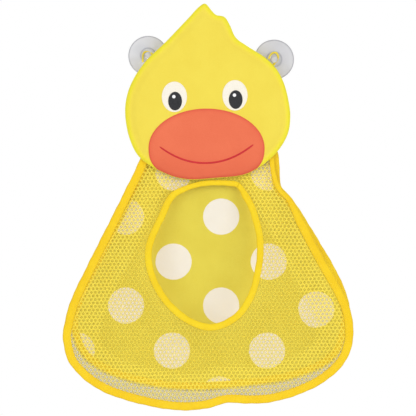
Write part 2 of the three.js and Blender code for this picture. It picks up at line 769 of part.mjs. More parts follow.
// Face
piece(
  "beak_applique",
  patch(beakOutline(48), BEAK_X, BEAK_Z, [0.95, 0.82, 0.4], 0),
  0xf37b58,
  0.8,
);
piece("smile_line", smileStrip(24), 0xd63c3e, 0.75);
for (const [side, name] of [[-1, "left"], [1, "right"]]) {
  const x = EYE_MIDDLE_X + (side * EYE_SPACING) / 2;
  const z = EYE_Z + side * EYE_TILT;
  const pupil = [x + PUPIL_SHIFT, z - PUPIL_DROP];
  const glint = [pupil[0] + GLINT_SHIFT, pupil[1] + GLINT_RISE];
  const white = ellipse(x, z, EYE_WIDTH / 2, EYE_HEIGHT / 2, 24);
  const dark = ellipse(...pupil, PUPIL_WIDTH / 2, PUPIL_HEIGHT / 2, 20);
  const shine = ellipse(...glint, GLINT_RADIUS, GLINT_RADIUS, 12);
  piece(`eye_white_${name}`, patch(white, x, z, [0.5], 0), 0xfaf6eb, 0.6);
  piece(`pupil_${name}`, patch(dark, ...pupil, [0.5], 1), 0x323438, 0.5);
  piece(`eye_glint_${name}`, patch(shine, ...glint, [], 2), 0xffffff, 0.5);
}

// Bag
const netSlot = NET_THICKNESS / 2 + SLOT_GAP;
const clothSlot = BACK_CLOTH / 2 + SLOT_GAP;
const frontEdge = belowNeck(front);
const backEdge = belowNeck(back);
piece(
  "back_panel",
  domedSlab(
    backContour,
    BAG_X,
    BAG_TOP_Z - 0.62 * BAG_HEIGHT,
    [0, TAPE_WIDTH / 2, TAPE_WIDTH + 2 * TAPE_FOLD],
    [0.7, 0.4],
    (x, z) => backHeight(x, z) + BACK_CLOTH / 2,
    (x, z) => backHeight(x, z) - BACK_CLOTH / 2,
  ),
  0xe4d34b,
  0.85,
);
piece(
  "back_binding",
  foldedTape(backEdge.path, backEdge.sides, false, TAPE_WIDTH, clothSlot, backHeight),
  0xf0b428,
  0.75,
);
piece(
  "front_mesh",
  cutSheet(frontContour, [mouthCut, ...netGaps()], NET_THICKNESS, frontHeight),
  0xf6de5a,
  0.8,
);
piece(
  "front_binding",
  foldedTape(frontEdge.path, frontEdge.sides, false, TAPE_WIDTH, netSlot, frontHeight),
  0xf8d228,
  0.7,
);
piece(
  "opening_binding",
  foldedTape(mouthPath, mouthSides, true, MOUTH_TAPE_WIDTH, netSlot, frontHeight),
  0xfade32,
  0.7,
);
piece("gusset_mesh", gussetStrip(), 0xd6d2c4, 0.85);
piece("neck_tape", neckTape(), 0xf6d22e, 0.75);

// Hangers
for (const [side, name, rootZ, slack] of [
  [-1, "left", LEFT_ROOT_Z, LEFT_SLACK],
  [1, "right", RIGHT_ROOT_Z, RIGHT_SLACK],
]) {
  const place = hanger(side, rootZ);
  piece(`loop_${name}`, cordLoop(place, slack), 0xf6d83a, 0.7);
  piece(`suction_cup_${name}`, suctionCup(...place.cup), 0xdbdbdd, 0.15);
}

export default part;
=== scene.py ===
"""Bath toy bag with a duck head: the visible pieces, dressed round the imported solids."""
import math

import bpy
import numpy as np
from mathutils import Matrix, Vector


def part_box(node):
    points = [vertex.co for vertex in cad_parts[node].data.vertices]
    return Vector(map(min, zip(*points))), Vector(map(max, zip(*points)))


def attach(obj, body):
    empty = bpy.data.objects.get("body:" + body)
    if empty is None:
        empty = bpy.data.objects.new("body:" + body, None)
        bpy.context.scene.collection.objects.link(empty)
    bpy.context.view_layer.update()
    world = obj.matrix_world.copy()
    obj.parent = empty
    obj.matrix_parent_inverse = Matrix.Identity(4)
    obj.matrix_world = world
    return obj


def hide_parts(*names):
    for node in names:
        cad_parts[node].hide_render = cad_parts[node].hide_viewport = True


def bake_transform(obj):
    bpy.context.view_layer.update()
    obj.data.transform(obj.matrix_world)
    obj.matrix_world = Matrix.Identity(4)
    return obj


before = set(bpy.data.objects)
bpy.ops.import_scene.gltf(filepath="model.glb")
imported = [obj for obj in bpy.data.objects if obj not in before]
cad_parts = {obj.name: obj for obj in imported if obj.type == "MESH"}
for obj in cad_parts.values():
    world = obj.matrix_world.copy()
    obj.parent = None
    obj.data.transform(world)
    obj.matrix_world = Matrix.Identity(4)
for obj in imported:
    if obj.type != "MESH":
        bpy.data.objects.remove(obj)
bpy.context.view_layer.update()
scene = bpy.context.scene
scene.view_settings.view_transform = "Standard"

# Sizes in millimetres. The large ones are the solids' own
MM = 0.001
SEAM_GAP, SLOT_GAP = 0.3, 0.4
HEAD_WIDTH, HEAD_HEIGHT = 185.8, 198.2
HEAD_X, HEAD_Z = -3.8, -38.5
HEAD_MIDDLE = (HEAD_X, HEAD_Z - 16)
HEAD_BACK_Y, HEAD_BACK_CLOTH, HEAD_FRONT_CLOTH = -23.0, 0.9, 1.1
HEAD_EDGE = HEAD_BACK_CLOTH + SEAM_GAP + HEAD_FRONT_CLOTH
HEAD_PUFF, HEAD_ROLL, HEAD_CROWN = 6.0, 15.0, 2.0
CHIN_Z = HEAD_Z - HEAD_HEIGHT / 2
BEAK_X, BEAK_Z = -5.3, CHIN_Z + 35.3
BEAK_WIDTH, BEAK_RISE, BEAK_DROP, BEAK_MARGIN = 130.5, 44.4, 37.5, 0.5
SMILE_WIDTH, SMILE_SAG, SMILE_LINE, SMILE_TILT = 105.6, 19.6, 2.1, 1.2
SMILE_LOW_Z = BEAK_Z - 16.8
EYE_X, EYE_Z, EYE_SPACING, EYE_TILT = -7.4, BEAK_Z + 58.5, 68.2, 0.85
EYE_SIZE, PUPIL_SIZE, GLINT_SIZE = (28.4, 34.4), (15.5, 21.0), (3.9, 3.9)
PUPIL_SHIFT, PUPIL_DROP, GLINT_SHIFT, GLINT_RISE = 0.8, 4.8, -1.4, 5.0
BAG_WIDTH, BAG_HEIGHT = 325.4, 301.8
BAG_X, BAG_TOP_Z = -3.8, CHIN_Z + 43.2
NET_THICKNESS, BACK_CLOTH = 1.0, 0.8
FRONT_TOP_Y, BACK_TOP_Y, WALL_STANDOFF = -20.7, -14.5, 3.0
BACK_RECEDE, FRONT_DROP, BAG_FLARE, FRONT_BULGE = 90.0, 45.0, 42.0, 9.0
TAPE_WIDTH, TAPE_WALL, TAPE_FOLD = 9.0, 0.8, 1.5
NECK_TAPE_HEIGHT, NECK_TAPE_WALL = 10.0, 1.1
GUSSET_INSET, GUSSET_LEAST_DEPTH, GUSSET_BOW = 4.0, 6.0, 3.0
GUSSET_COVER, GUSSET_INSETS = 5.0, (1.6, 7.4)
GUSSET_SPLIT_Z, HEM_WIDTH, HEM_LAP = -235.0, 3.4, 2.0
MOUTH_WIDTH, MOUTH_HEIGHT = 120.0, 155.0
MOUTH_X, MOUTH_Z = -7.9, BAG_TOP_Z - 128.5
MOUTH_TAPE_WIDTH, MOUTH_TAPE_SPARE, MOUTH_INWARD = 6.7, 0.6, 0.8
MOUTH_TOP_PULL, MOUTH_LAP = 1.5, 6
STITCH_LENGTH, STITCH_PITCH, STITCH_RADIUS, STITCH_INSET = 2.5, 3.5, 0.26, 1.7
MESH_PITCH, MESH_HOLE, MESH_RELIEF, MESH_KNOT = 4.5, 1.25, 0.15, 0.06
NET_MARGIN = 2.9
DOUBLED_HOLE, DOUBLED_REACH, SIDE_HOLE = 0.62, 44.0, 0.6
NECK_PRESS, NECK_PRESS_DEPTH, NECK_PRESS_FADE = 0.22, 62.0, 18.0
FOLD_MOST = math.radians(8)
CUP_RADIUS, CUP_RIM, CUP_LIP, CUP_DOME, CUP_HOLLOW = 22.5, 2.2, 1.0, 10.0, 5.0
CUP_HUB_RADIUS, CUP_HUB_STEP = 8.4, 1.8
CUP_NECK_RADIUS, CUP_NECK_LENGTH = 2.0, 4.5
CUP_KNOB_RADIUS, CUP_KNOB_HEIGHT = 4.0, 5.5
CORD_RADIUS, CORD_TURN = 1.1, 4.0
HANGERS = {
    "left": {
        "out": (-0.7151, 0.699),
        "cup": (-71.245, 2.387),
        "offset": 2.7,
        "length": 0.0422,
        "slack": [
            (-9.8, None, 0), (-8.1, 0.4, 0.16), (-6.3, 2.1, 0.5), (-4.6, 3.7, 0.84),
            (-2.7, 5.1, 1), (-0.2, 5.5, 1), (2.1, 4, 1), (3.2, 1.4, 1),
        ],
    },
    "right": {
        "out": (0.7041, 0.7101),
        "cup": (71.074, -1.853),
        "offset": 5.7,
        "length": 0.0449,
        "slack": [
            (-4.5, None, 0), (-5.6, -2, 0.15), (-6.3, 0.6, 0.5), (-6.3, 3.3, 0.83),
            (-5.2, 5.7, 1), (-2.9, 6.9, 1), (-0.3, 6.2, 1), (1.8, 4.3, 1), (3.1, 1.7, 1),
        ],
    },
}

# Outlines in thousandths of half the width and half the height, or of the bag's height
HEAD_SHAPE = [
    (-35, 1000), (47, 919), (98, 873), (201, 848), (262, 764), (339, 613), (473, 520),
    (714, 372), (843, 242), (927, 83), (984, -133), (1000, -280), (973, -473), (854, -671),
    (655, -842), (449, -944), (110, -985), (-253, -1000), (-507, -938), (-828, -749),
    (-943, -553), (-1000, -303), (-995, -110), (-931, 89), (-772, 326), (-508, 568),
    (-230, 841), (-105, 965),
]
MOUTH_SHAPE = [
    (46, 1000), (451, 997), (585, 985), (645, 935), (772, 791), (882, 604), (1000, 190),
    (958, -225), (806, -612), (519, -886), (114, -1000), (-325, -880), (-747, -559),
    (-975, -164), (-978, 136), (-747, 557), (-629, 758), (-536, 852), (-156, 968),
]
FRONT_SHAPE = [
    (-434, 0), (-466, -60), (-600, -212), (-849, -481), (-946, -593), (-991, -682),
    (-1000, -734), (-963, -816), (-877, -874), (-735, -928), (-497, -973), (-213, -1000),
    (-20, -995), (139, -973), (291, -976), (450, -969), (672, -932), (838, -881), (952, -816),
    (1000, -742), (1000, -675), (969, -604), (779, -414), (578, -214), (509, -175), (475, -127),
    (457, -63), (450, 0),
]
BACK_SHAPE = [
    (-421, 0), (-448, -56), (-583, -212), (-829, -481), (-925, -593), (-960, -675),
    (-943, -734), (-898, -790), (-829, -831), (-670, -880), (-352, -924), (-54, -934),
    (291, -919), (575, -895), (824, -842), (914, -798), (965, -734), (986, -660), (976, -593),
    (910, -503), (768, -369), (582, -212), (513, -171), (499, -116), (492, -56), (471, 0),
]

# Camera: level, square to the wall, far off with a long lens
FRAME_WIDTH = 0.468
FRAME_CENTRE = (-0.00366, -0.16976)
CAMERA_DISTANCE = 6.0
SENSOR = 36.0
camera_data = bpy.data.cameras.new("camera")
camera_data.sensor_width = SENSOR
camera_data.lens = SENSOR * (CAMERA_DISTANCE - 0.035) / FRAME_WIDTH
camera_data.clip_end = 50
camera = bpy.data.objects.new("camera", camera_data)
camera.location = (FRAME_CENTRE[0], -CAMERA_DISTANCE, FRAME_CENTRE[1])
camera.rotation_euler = (math.pi / 2, 0, 0)
scene.collection.objects.link(camera)
scene.camera = camera


# Curves and surfaces
def flow(points, closed, count):
    """Evenly spaced samples on a smooth curve through the points."""
    p = np.asarray(points, float)
    if closed:
        ring = np.vstack([p[-1], p, p[0], p[1]])
    else:
        ring = np.vstack([2 * p[0] - p[1], p, 2 * p[-1] - p[-2]])
    t = np.linspace(0, 1, 40, endpoint=False)[:, None]
    dense = []
    for a, b, c, d in zip(ring, ring[1:], ring[2:], ring[3:]):
        u, v, w = (np.linalg.norm(q - r) ** 0.5 for q, r in ((b, a), (c, b), (d, c)))
        m = ((b - a) / u - (c - a) / (u + v) + (c - b) / v) * v
        n = ((c - b) / v - (d - b) / (v + w) + (d - c) / w) * v
        dense.append(b + t * m + t**2 * (3 * (c - b) - 2 * m - n) + t**3 * (2 * (b - c) + m + n))
    dense.append(p[:1] if closed else p[-1:])
    line = np.vstack(dense)
    far = travel(line)
    return sampled(np.linspace(0, far[-1], count, endpoint=not closed), far, line)


def lengths(rows):
    return np.linalg.norm(rows, axis=1)


def travel(line):
    """How far along a line each of its points lies."""
    return np.concatenate([[0], np.cumsum(lengths(np.diff(line, axis=0)))])


def sampled(at, far, rows):
    """Rows of values read off at distances along a line."""
    return np.stack([np.interp(at, far, column) for column in rows.T], 1)


def circle(count):
    """Points round the unit circle."""
    turn = np.arange(count) * 2 * math.pi / count
    return np.stack([np.cos(turn), np.sin(turn)], 1)


def placed(shape, x, z, half_width, height):
    return np.array(shape) / 1000 * (half_width, height) + (x, z)


def smoothed(values, reach, closed):
    """The values evened out over a number of neighbours on each side."""
    weights = np.hanning(2 * reach + 3)[1:-1]
    padded = np.pad(values, ((reach, reach), (0, 0)), "wrap" if closed else "edge")
    columns = [np.convolve(padded[:, k], weights / weights.sum(), "valid") for k in range(2)]
    return np.stack(columns, 1)


def sides_of(path, closed, reach):
    """Unit normals on the left of the direction of travel, evened out along the path."""
    if closed:
        step = np.roll(path, -1, 0) - np.roll(path, 1, 0)
    else:
        step = np.gradient(path, axis=0)
    side = smoothed(np.stack([-step[:, 1], step[:, 0]], 1), reach, closed)
    return side / lengths(side)[:, None]


def away(points, path, closed=True):
    """Distance from each point to the nearest stretch of a path."""
    a = path if closed else path[:-1]
    step = (np.roll(path, -1, 0) - path) if closed else np.diff(path, axis=0)
    size = (step**2).sum(1)
    out = np.empty(len(points))
    for k in range(0, len(points), 1500):
        rel = points[k : k + 1500, None] - a
        t = np.clip((rel * step).sum(2) / size, 0, 1)
        out[k : k + 1500] = np.sqrt((((rel - t[..., None] * step) ** 2).sum(2)).min(1))
    return out


def inside(points, loop):
    odd = np.zeros(len(points), bool)
    x, z = points.T
    for (ax, az), (bx, bz) in zip(loop, np.roll(loop, -1, 0)):
        if az != bz:
            odd ^= ((az > z) != (bz > z)) & (x < ax + (z - az) / (bz - az) * (bx - ax))
    return odd


def ease(t):
    s = np.clip(t, 0, 1)
    return s * s * (3 - 2 * s)


def hump(t, middle, width):
    return np.exp(-(((t - middle) / width) ** 2))


def waves(a, b, rows):
    """A smooth unevenness: a sum of sines, each given as size, radians per mm twice, phase."""
    return sum(size * np.sin(u * a + v * b + phase) for size, u, v, phase in rows)


def front_depth(x, z):
    fall = (BAG_TOP_Z - z - FRONT_DROP) / (BAG_HEIGHT - FRONT_DROP)
    across = 1 - ((x - BAG_X) / (BAG_WIDTH / 2)) ** 2
    bulge = FRONT_BULGE * np.sin(math.pi * np.clip(fall, 0, 1)) ** 2
    return FRONT_TOP_Y - BAG_FLARE * ease(fall) - bulge * across


def back_depth(x, z):
    share = ease((BAG_TOP_Z - NECK_TAPE_HEIGHT - z) / BACK_RECEDE)
    return BACK_TOP_Y + (-WALL_STANDOFF - BACK_TOP_Y) * share + 0 * x


HEAD_LINE = flow(placed(HEAD_SHAPE, HEAD_X, HEAD_Z, HEAD_WIDTH / 2, HEAD_HEIGHT / 2), True, 480)
RIM_WAVES = [(0.1, 0.31, 0.12, 0.4), (0.09, -0.14, 0.37, 1.9), (0.06, 0.52, -0.41, 3.0)]
FACE_WAVES = [(0.22, 0.043, 0.021, 0.7), (0.16, -0.03, 0.061, 2.2), (0.12, 0.085, 0.05, 4.1)]


def head_reach(middle, rays):
    """How far the head's outline lies from a point within it, along each ray."""
    rel = HEAD_LINE - middle
    turn = np.arctan2(rel[:, 1], rel[:, 0])
    order = np.argsort(turn)
    at = np.arctan2(rays[:, 1], rays[:, 0])
    return np.interp(at, turn[order], lengths(rel)[order], period=2 * math.pi)


def head_front(x, z):
    """The padded front of the head: a rolled rim, a shallow dip inside it and a low crown."""
    flat = np.stack([np.ravel(x), np.ravel(z)], 1)
    d = np.where(inside(flat, HEAD_LINE), away(flat, HEAD_LINE), 0)
    rel = flat - HEAD_MIDDLE
    share = lengths(rel) / head_reach(HEAD_MIDDLE, rel)
    dome = np.sqrt(1 - (1 - np.clip(d / HEAD_ROLL, 0, 1)) ** 2)
    crown = np.clip(1 - share**2, 0, 1)
    roll = 0.55 * hump(d, 3.4, 2.4) - 0.55 * hump(d, 8.0, 2.2)
    crease = waves(*flat.T, RIM_WAVES) * hump(d, 8, 6)
    ease_in = waves(*flat.T, FACE_WAVES) * np.clip(d / 20, 0, 1)
    y = HEAD_BACK_Y - HEAD_EDGE - HEAD_PUFF * dome - HEAD_CROWN * crown - roll - crease - ease_in
    return y.reshape(np.shape(x))


# Mesh building
def mesh_piece(name, points, faces, material, uv=None, marks=None):
    """A smooth-shaded mesh from points in millimetres, with its faces turned outward."""
    points = np.asarray(points, float).reshape(-1, 3)
    faces = [tuple(int(i) for i in f) for f in faces]
    a, b, c = (points[[f[k] for f in faces]] for k in range(3))
    last = points[[f[-1] for f in faces]]
    volume = (a * np.cross(b, c)).sum() + (a * np.cross(c, last)).sum()
    if volume < 0:
        faces = [f[::-1] for f in faces]
    mesh = bpy.data.meshes.new(name)
    mesh.from_pydata(points * MM, [], faces)
    mesh.polygons.foreach_set("use_smooth", [True] * len(mesh.polygons))
    if uv is not None:
        loops = np.zeros(len(mesh.loops), np.int32)
        mesh.loops.foreach_get("vertex_index", loops)
        layer = mesh.uv_layers.new(name="lay")
        layer.data.foreach_set("uv", np.asarray(uv, np.float32)[loops].ravel())
    for key, values in (marks or {}).items():
        data = mesh.attributes.new(key, "FLOAT", "POINT").data
        data.foreach_set("value", np.asarray(values, np.float32))
    mesh.materials.append(material)
    mesh.validate()
    mesh.update()
    piece = bpy.data.objects.new(name, mesh)
    scene.collection.objects.link(piece)
    return piece


def own(piece, slot, body, *nodes):
    """Hides the solids that a piece stands for and attaches it to the body it moves with."""
    if nodes:
        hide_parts(*nodes)
    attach(piece, body)
    return piece


def raised(flat, y):
    """Points in space from points of the front view and their depths."""
    return np.stack([flat[:, 0], np.broadcast_to(y, len(flat)), flat[:, 1]], 1)


def loft_faces(rings, count, start=0):
    """Quads between closed rings of points."""
    faces = []
    for a in range(start, start + (rings - 1) * count, count):
        b = a + count
        for k in range(count):
            n = (k + 1) % count
            faces.append((a + k, a + n, b + n, b + k))
    return faces


def tube_faces(rings, count, start=0):
    """Quads between rings, and one face over each end."""
    tail = start + (rings - 1) * count
    ends = [tuple(range(start, start + count))[::-1], tuple(range(tail, tail + count))]
    return loft_faces(rings, count, start) + ends


def dome_rings(outline, middle, insets, shares):
    """Rings of an outline, drawn in by distances and then by shares towards the middle."""
    rel = outline - middle
    size = lengths(rel)[:, None]
    rings = [middle + rel * np.maximum(0.05, 1 - d / size) for d in insets]
    start = max(insets)
    rings += [middle + rel * np.maximum(0.02, 1 - start / size) * s for s in shares]
    return np.array(rings)


def capped(rings):
    """A closed solid from rings, with its first and last ring drawn to their mean points."""
    count = rings.shape[1]
    points = np.vstack([rings.reshape(-1, 3), rings[0].mean(0), rings[-1].mean(0)])
    faces = loft_faces(len(rings), count)
    first, tail = len(points) - 2, (len(rings) - 1) * count
    for k in range(count):
        n = (k + 1) % count
        faces.append((first, n, k))
        faces.append((first + 1, tail + k, tail + n))
    return points, faces


def transported(line):
    """Two cross directions along a line, turning as little as they can."""
    tangent = np.gradient(line, axis=0)
    tangent /= lengths(tangent)[:, None]
    side = np.cross(tangent[0], (0.3, 0.5, 0.81))
    rows = []
    for t in tangent:
        side = side - t * (side @ t)
        side /= np.linalg.norm(side)
        rows.append(side)
    return np.array(rows), np.cross(tangent, rows)


# Materials
def srgb(r, g, b):
    parts = [c / 255 for c in (r, g, b)]
    return (*[c / 12.92 if c <= 0.04045 else ((c + 0.055) / 1.055) ** 2.4 for c in parts], 1)


class Nodes:
    """Short calls that add nodes to a tree and join them."""

    def __init__(self, tree):
        self.tree = tree

    def node(self, kind, sockets=None, **fields):
        made = self.tree.nodes.new(kind)
        for key, value in fields.items():
            setattr(made, key, value)
        for key, value in (sockets or {}).items():
            self.put(made.inputs[key], value)
        return made

    def put(self, socket, value):
        if isinstance(value, bpy.types.NodeSocket):
            self.tree.links.new(value, socket)
        else:
            socket.default_value = value

    def math(self, operation, a, b=0.0):
        return self.node("ShaderNodeMath", {0: a, 1: b}, operation=operation).outputs[0]


class Shader(Nodes):
    """A material with one Principled shader, and short calls for what is behind it."""

    def __init__(self, name, **sockets):
        self.material = bpy.data.materials.new(name)
        self.material.use_nodes = True
        super().__init__(self.material.node_tree)
        self.bsdf = self.tree.nodes["Principled BSDF"]
        for key, value in sockets.items():
            self.put(self.bsdf.inputs[key.replace("_", " ")], value)
        self.place = self.node("ShaderNodeTexCoord").outputs["Object"]

    def weighed(self, a, b, share):
        rest = self.math("MULTIPLY", b, 1 - share)
        return self.math("ADD", self.math("MULTIPLY", a, share), rest)

    def span(self, value, low, high, to_low=0.0, to_high=1.0):
        sockets = dict(enumerate((value, low, high, to_low, to_high)))
        made = self.node("ShaderNodeMapRange", sockets, interpolation_type="SMOOTHSTEP")
        return made.outputs[0]

    def mix(self, share, a, b):
        sockets = {"Factor": share, 6: a, 7: b}
        return self.node("ShaderNodeMix", sockets, data_type="RGBA").outputs[2]

    def noise(self, scale, detail, stretch=(1, 1, 1)):
        moved = self.node("ShaderNodeMapping", {"Vector": self.place, "Scale": stretch})
        sockets = {"Vector": moved.outputs[0], "Scale": scale, "Detail": detail}
        return self.node("ShaderNodeTexNoise", sockets).outputs["Fac"]

    def bands(self, axis, period, warp, place=None):
        sockets = {
            "Vector": place or self.place,
            "Scale": 2 * math.pi / 20 / period,
            "Distortion": warp,
            "Detail Scale": 1.5,
        }
        return self.node("ShaderNodeTexWave", sockets, bands_direction=axis).outputs["Fac"]

    def mark(self, name):
        return self.node("ShaderNodeAttribute", attribute_name=name).outputs["Fac"]

    def axes(self, vector):
        return self.node("ShaderNodeSeparateXYZ", {0: vector}).outputs

    def bump(self, height, depth, under=None):
        made = self.node("ShaderNodeBump", {"Distance": depth, "Height": height})
        if under is not None:
            self.put(made.inputs["Normal"], under)
        return made.outputs[0]

    def paint(self, color, roughness=None, normal=None):
        for key, value in (("Base Color", color), ("Roughness", roughness), ("Normal", normal)):
            if value is not None:
                self.put(self.bsdf.inputs[key], value)
        return self.material


def woven(shader, period):
    """The height of a plain weave: two sets of threads over and under each other."""
    threads = [shader.bands(axis, period, 0.6) for axis in "XZ"]
    return shader.math("MAXIMUM", *threads)


def cloth(name, light, dark, tint=None, period=0.0008):
    """A plain woven cloth with soft creases and a slightly uneven dye, and a tint over it."""
    s = Shader(name, Sheen_Weight=0.12, Sheen_Roughness=0.5, Specular_IOR_Level=0.3)
    patch = s.span(s.noise(26, 3), 0.3, 0.7)
    fibre = s.span(s.noise(1500, 2), 0.25, 0.75)
    shade = s.weighed(patch, fibre, 0.55)
    creases = s.bump(s.noise(70, 3), 0.0007)
    threads = s.bump(woven(s, period), 0.00009, creases)
    color = s.mix(shade, light, dark)
    if tint:
        color = tint(s, color)
    return s.paint(color, s.span(fibre, 0, 1, 0.7, 0.86), threads)


# Painted highlight: the head's rolled rim is coloured a brighter lemon yellow than the face inside
# it.
def painted_rim_highlight(s, color):
    return s.mix(s.span(s.mark("rim"), 0.15, 0.95), color, srgb(255, 243, 46))


# Painted shade: the beak's cloth is darker towards its bottom. The darker red band along its edge
# is its stitched seam.
def beak_low_shade_and_seam(s, color):
    low = s.span(s.axes(s.place)[2], -0.137, -0.1, 1.0, 0.0)
    tone = s.mix(low, color, srgb(234, 109, 75))
    return s.mix(s.span(s.mark("edge"), 0.05, 0.9), tone, srgb(228, 92, 68))


def dots(s, color):
    """Staggered rows of round pale dots."""
    x, _, z = s.axes(s.place)
    drawn_x = s.math("ADD", x, s.span(z, -0.325, -0.29, 0.0019, 0.0))
    drawn_z = s.math("ADD", z, s.span(x, 0.075, 0.115, 0.0, 0.0045))
    gap_x, gap_z, radius = 0.1076, 0.1006, 0.0204
    near = None
    for shift_x, shift_z in ((0.0112, -0.1795), (0.065, -0.1298)):
        parts = []
        for value, shift, gap in ((drawn_x, shift_x, gap_x), (drawn_z, shift_z, gap_z)):
            share = s.math("FRACT", s.math("ADD", s.math("DIVIDE", value, gap), 0.5 - shift / gap))
            parts.append(s.math("MULTIPLY", s.math("SUBTRACT", share, 0.5), gap))
        squares = [s.math("MULTIPLY", p, p) for p in parts]
        far = s.math("SQRT", s.math("ADD", *squares))
        near = far if near is None else s.math("MINIMUM", near, far)
    ragged = s.math("ADD", near, s.math("MULTIPLY", s.noise(420, 2), 0.0006))
    dot = s.span(ragged, radius, radius + 0.0006, 1.0, 0.0)
    ink = s.mix(s.noise(60, 3), srgb(249, 244, 233), srgb(245, 238, 222))
    return s.mix(dot, color, ink)


def tape_material(name, light, dark):
    """A folded cotton tape, ribbed across its length."""
    s = Shader(name, Sheen_Weight=0.04, Sheen_Roughness=0.5, Specular_IOR_Level=0.25)
    lay = s.node("ShaderNodeUVMap", uv_map="lay").outputs["UV"]
    ribs = s.bands("X", 0.0009, 0.5, lay)
    threads = s.bands("Y", 0.0007, 0.5, lay)
    fibre = s.span(s.noise(1300, 2), 0.25, 0.75)
    patch = s.span(s.noise(45, 3), 0.3, 0.7)
    shade = s.weighed(patch, fibre, 0.6)
    height = s.weighed(ribs, threads, 0.7)
    normal = s.bump(height, 0.00012, s.bump(s.noise(160, 3), 0.0006))
    return s.paint(s.mix(shade, light, dark), s.span(fibre, 0, 1, 0.68, 0.84), normal)


def thread_material(name, light, dark, rough=0.7, cover=None, single_shade=None, fade=None):
    """Knitted or twisted yarn with a fuzzy surface.

    Net lets some light through: cover is its opacity where it is single and where it is doubled,
    single_shade is a darker colour mixed in, most where it is single, as painted shade, and fade is
    the share left at the edge of a hole.
    """
    s = Shader(name, Sheen_Weight=0.15, Sheen_Roughness=0.4, Specular_IOR_Level=0.35)
    if cover:
        alpha = s.span(s.mark("doubled"), 0, 1, *cover)
        if fade:
            alpha = s.math("MULTIPLY", alpha, s.span(s.mark("rim"), 0, 1, 1.0, fade))
        s.put(s.bsdf.inputs["Alpha"], alpha)
    twist = s.noise(2200, 2, (1, 1, 0.35))
    patch = s.span(s.noise(34, 3), 0.3, 0.7)
    color = s.mix(s.weighed(patch, twist, 0.5), light, dark)
    # Painted light and shade: the same yarn is darker where the net is single and lighter where it
    # is doubled.
    if single_shade:
        color = s.mix(s.span(s.mark("doubled"), 0, 1, 0.45, 0.15), color, single_shade)
    roughness = s.span(twist, 0.2, 0.8, rough - 0.1, rough + 0.1)
    return s.paint(color, roughness, s.bump(twist, 0.0002))


def print_material(name, light, dark):
    """A smooth appliqué cloth with a close weave."""
    s = Shader(name, Specular_IOR_Level=0.35)
    fibre = s.span(s.noise(900, 2), 0.25, 0.75)
    normal = s.bump(woven(s, 0.0006), 0.00005)
    return s.paint(s.mix(fibre, light, dark), s.span(fibre, 0, 1, 0.49, 0.63), normal)


def vinyl_material():
    """Clear soft vinyl with a faint haze, darker where it is thick, and with painted shade on the
    right cup.
    """
    s = Shader("clear_vinyl", Transmission_Weight=0.45, IOR=1.46, Specular_IOR_Level=0.4)
    haze = s.noise(90, 3)
    clear = s.mix(haze, srgb(240, 240, 242), srgb(228, 228, 231))
    # Painted shade: the right cup is darkened.
    right_cup_shade = s.span(s.axes(s.place)[0], -0.02, 0.02, 0.0, 0.25)
    color = s.mix(right_cup_shade, clear, srgb(204, 202, 206))
    thick = s.span(s.mark("thick"), 0.0, 1.0)
    tone = s.mix(thick, color, srgb(168, 168, 175))
    return s.paint(tone, s.span(haze, 0.3, 0.7, 0.3, 0.4), s.bump(s.noise(60, 2), 0.00006))


HEAD_CLOTH = cloth("head_cloth", srgb(246, 225, 82), srgb(242, 218, 74), painted_rim_highlight)
HEAD_BACK = cloth("head_cloth_back", srgb(244, 224, 84), srgb(236, 214, 72))
BEAK_CLOTH = cloth("beak_cloth", srgb(242, 121, 84), srgb(235, 111, 76), beak_low_shade_and_seam)
SMILE_PRINT = thread_material("smile_print", srgb(216, 48, 54), srgb(200, 38, 46))
EYE_WHITE = print_material("eye_white", srgb(252, 246, 232), srgb(246, 239, 222))
PUPIL = print_material("pupil", srgb(25, 26, 30), srgb(17, 18, 21))
GLINT = print_material("eye_glint", srgb(255, 255, 255), srgb(246, 246, 248))
DOTTED = cloth("dotted_cloth", srgb(233, 218, 82), srgb(226, 208, 72), dots, 0.0009)
BINDING = tape_material("binding", srgb(254, 217, 36), srgb(249, 205, 26))
BINDING_MOUTH = tape_material("binding_mouth", srgb(253, 223, 38), srgb(248, 211, 28))
# Painted light: the back tape is the same tape as the front one, coloured lighter and yellower to
# offset the shade it lies in.
BINDING_BACK_LIT = tape_material("binding_back", srgb(255, 222, 46), srgb(252, 209, 36))
STITCH = thread_material("stitch_thread", srgb(253, 226, 70), srgb(244, 208, 48), 0.6)
NET = thread_material(
    "net", srgb(255, 238, 91), srgb(251, 229, 77),
    cover=(0.42, 0.51), single_shade=srgb(236, 214, 66), fade=0.45,
)
PALE_NET = thread_material("pale_net", srgb(220, 212, 168), srgb(207, 199, 154), cover=(0.5, 0.5))
CORD = thread_material("cord", srgb(255, 236, 70), srgb(250, 222, 54), 0.6)
VINYL = vinyl_material()


# Cord loops: from the head's rim, round the neck of a cup, and back to the rim
def loop_route(out, cup, offset, slack):
    root_y = HEAD_BACK_Y - HEAD_EDGE / 2
    neck_y = -(CUP_DOME + CUP_NECK_LENGTH / 2)
    turn_end = neck_y - CORD_TURN
    seat = CORD_RADIUS + SEAM_GAP
    root = seat - offset
    beside = CUP_NECK_RADIUS + seat
    within = -(CUP_KNOB_RADIUS + seat)
    lay = [(a, root if o is None else o, root_y + s * (neck_y - root_y)) for a, o, s in slack]
    for share in (0, 1 / 6, 1 / 3, 1 / 2):
        drop = CORD_TURN * (1 - math.cos(math.pi * share))
        reach = within + CORD_TURN * (1 - math.sin(math.pi * share))
        lay.append((beside, reach, neck_y - drop))
    for share in (0.25, 0.5, 0.75, 1):
        reach = within + (root - within) * float(ease(1.25 * share))
        lay.append((beside + CORD_RADIUS * share, reach, turn_end + (root_y - turn_end) * share))
    (ox, oz), (cx, cz) = out, cup
    return [(cx + ox * o + oz * a, y, cz + oz * o - ox * a) for a, o, y in lay]


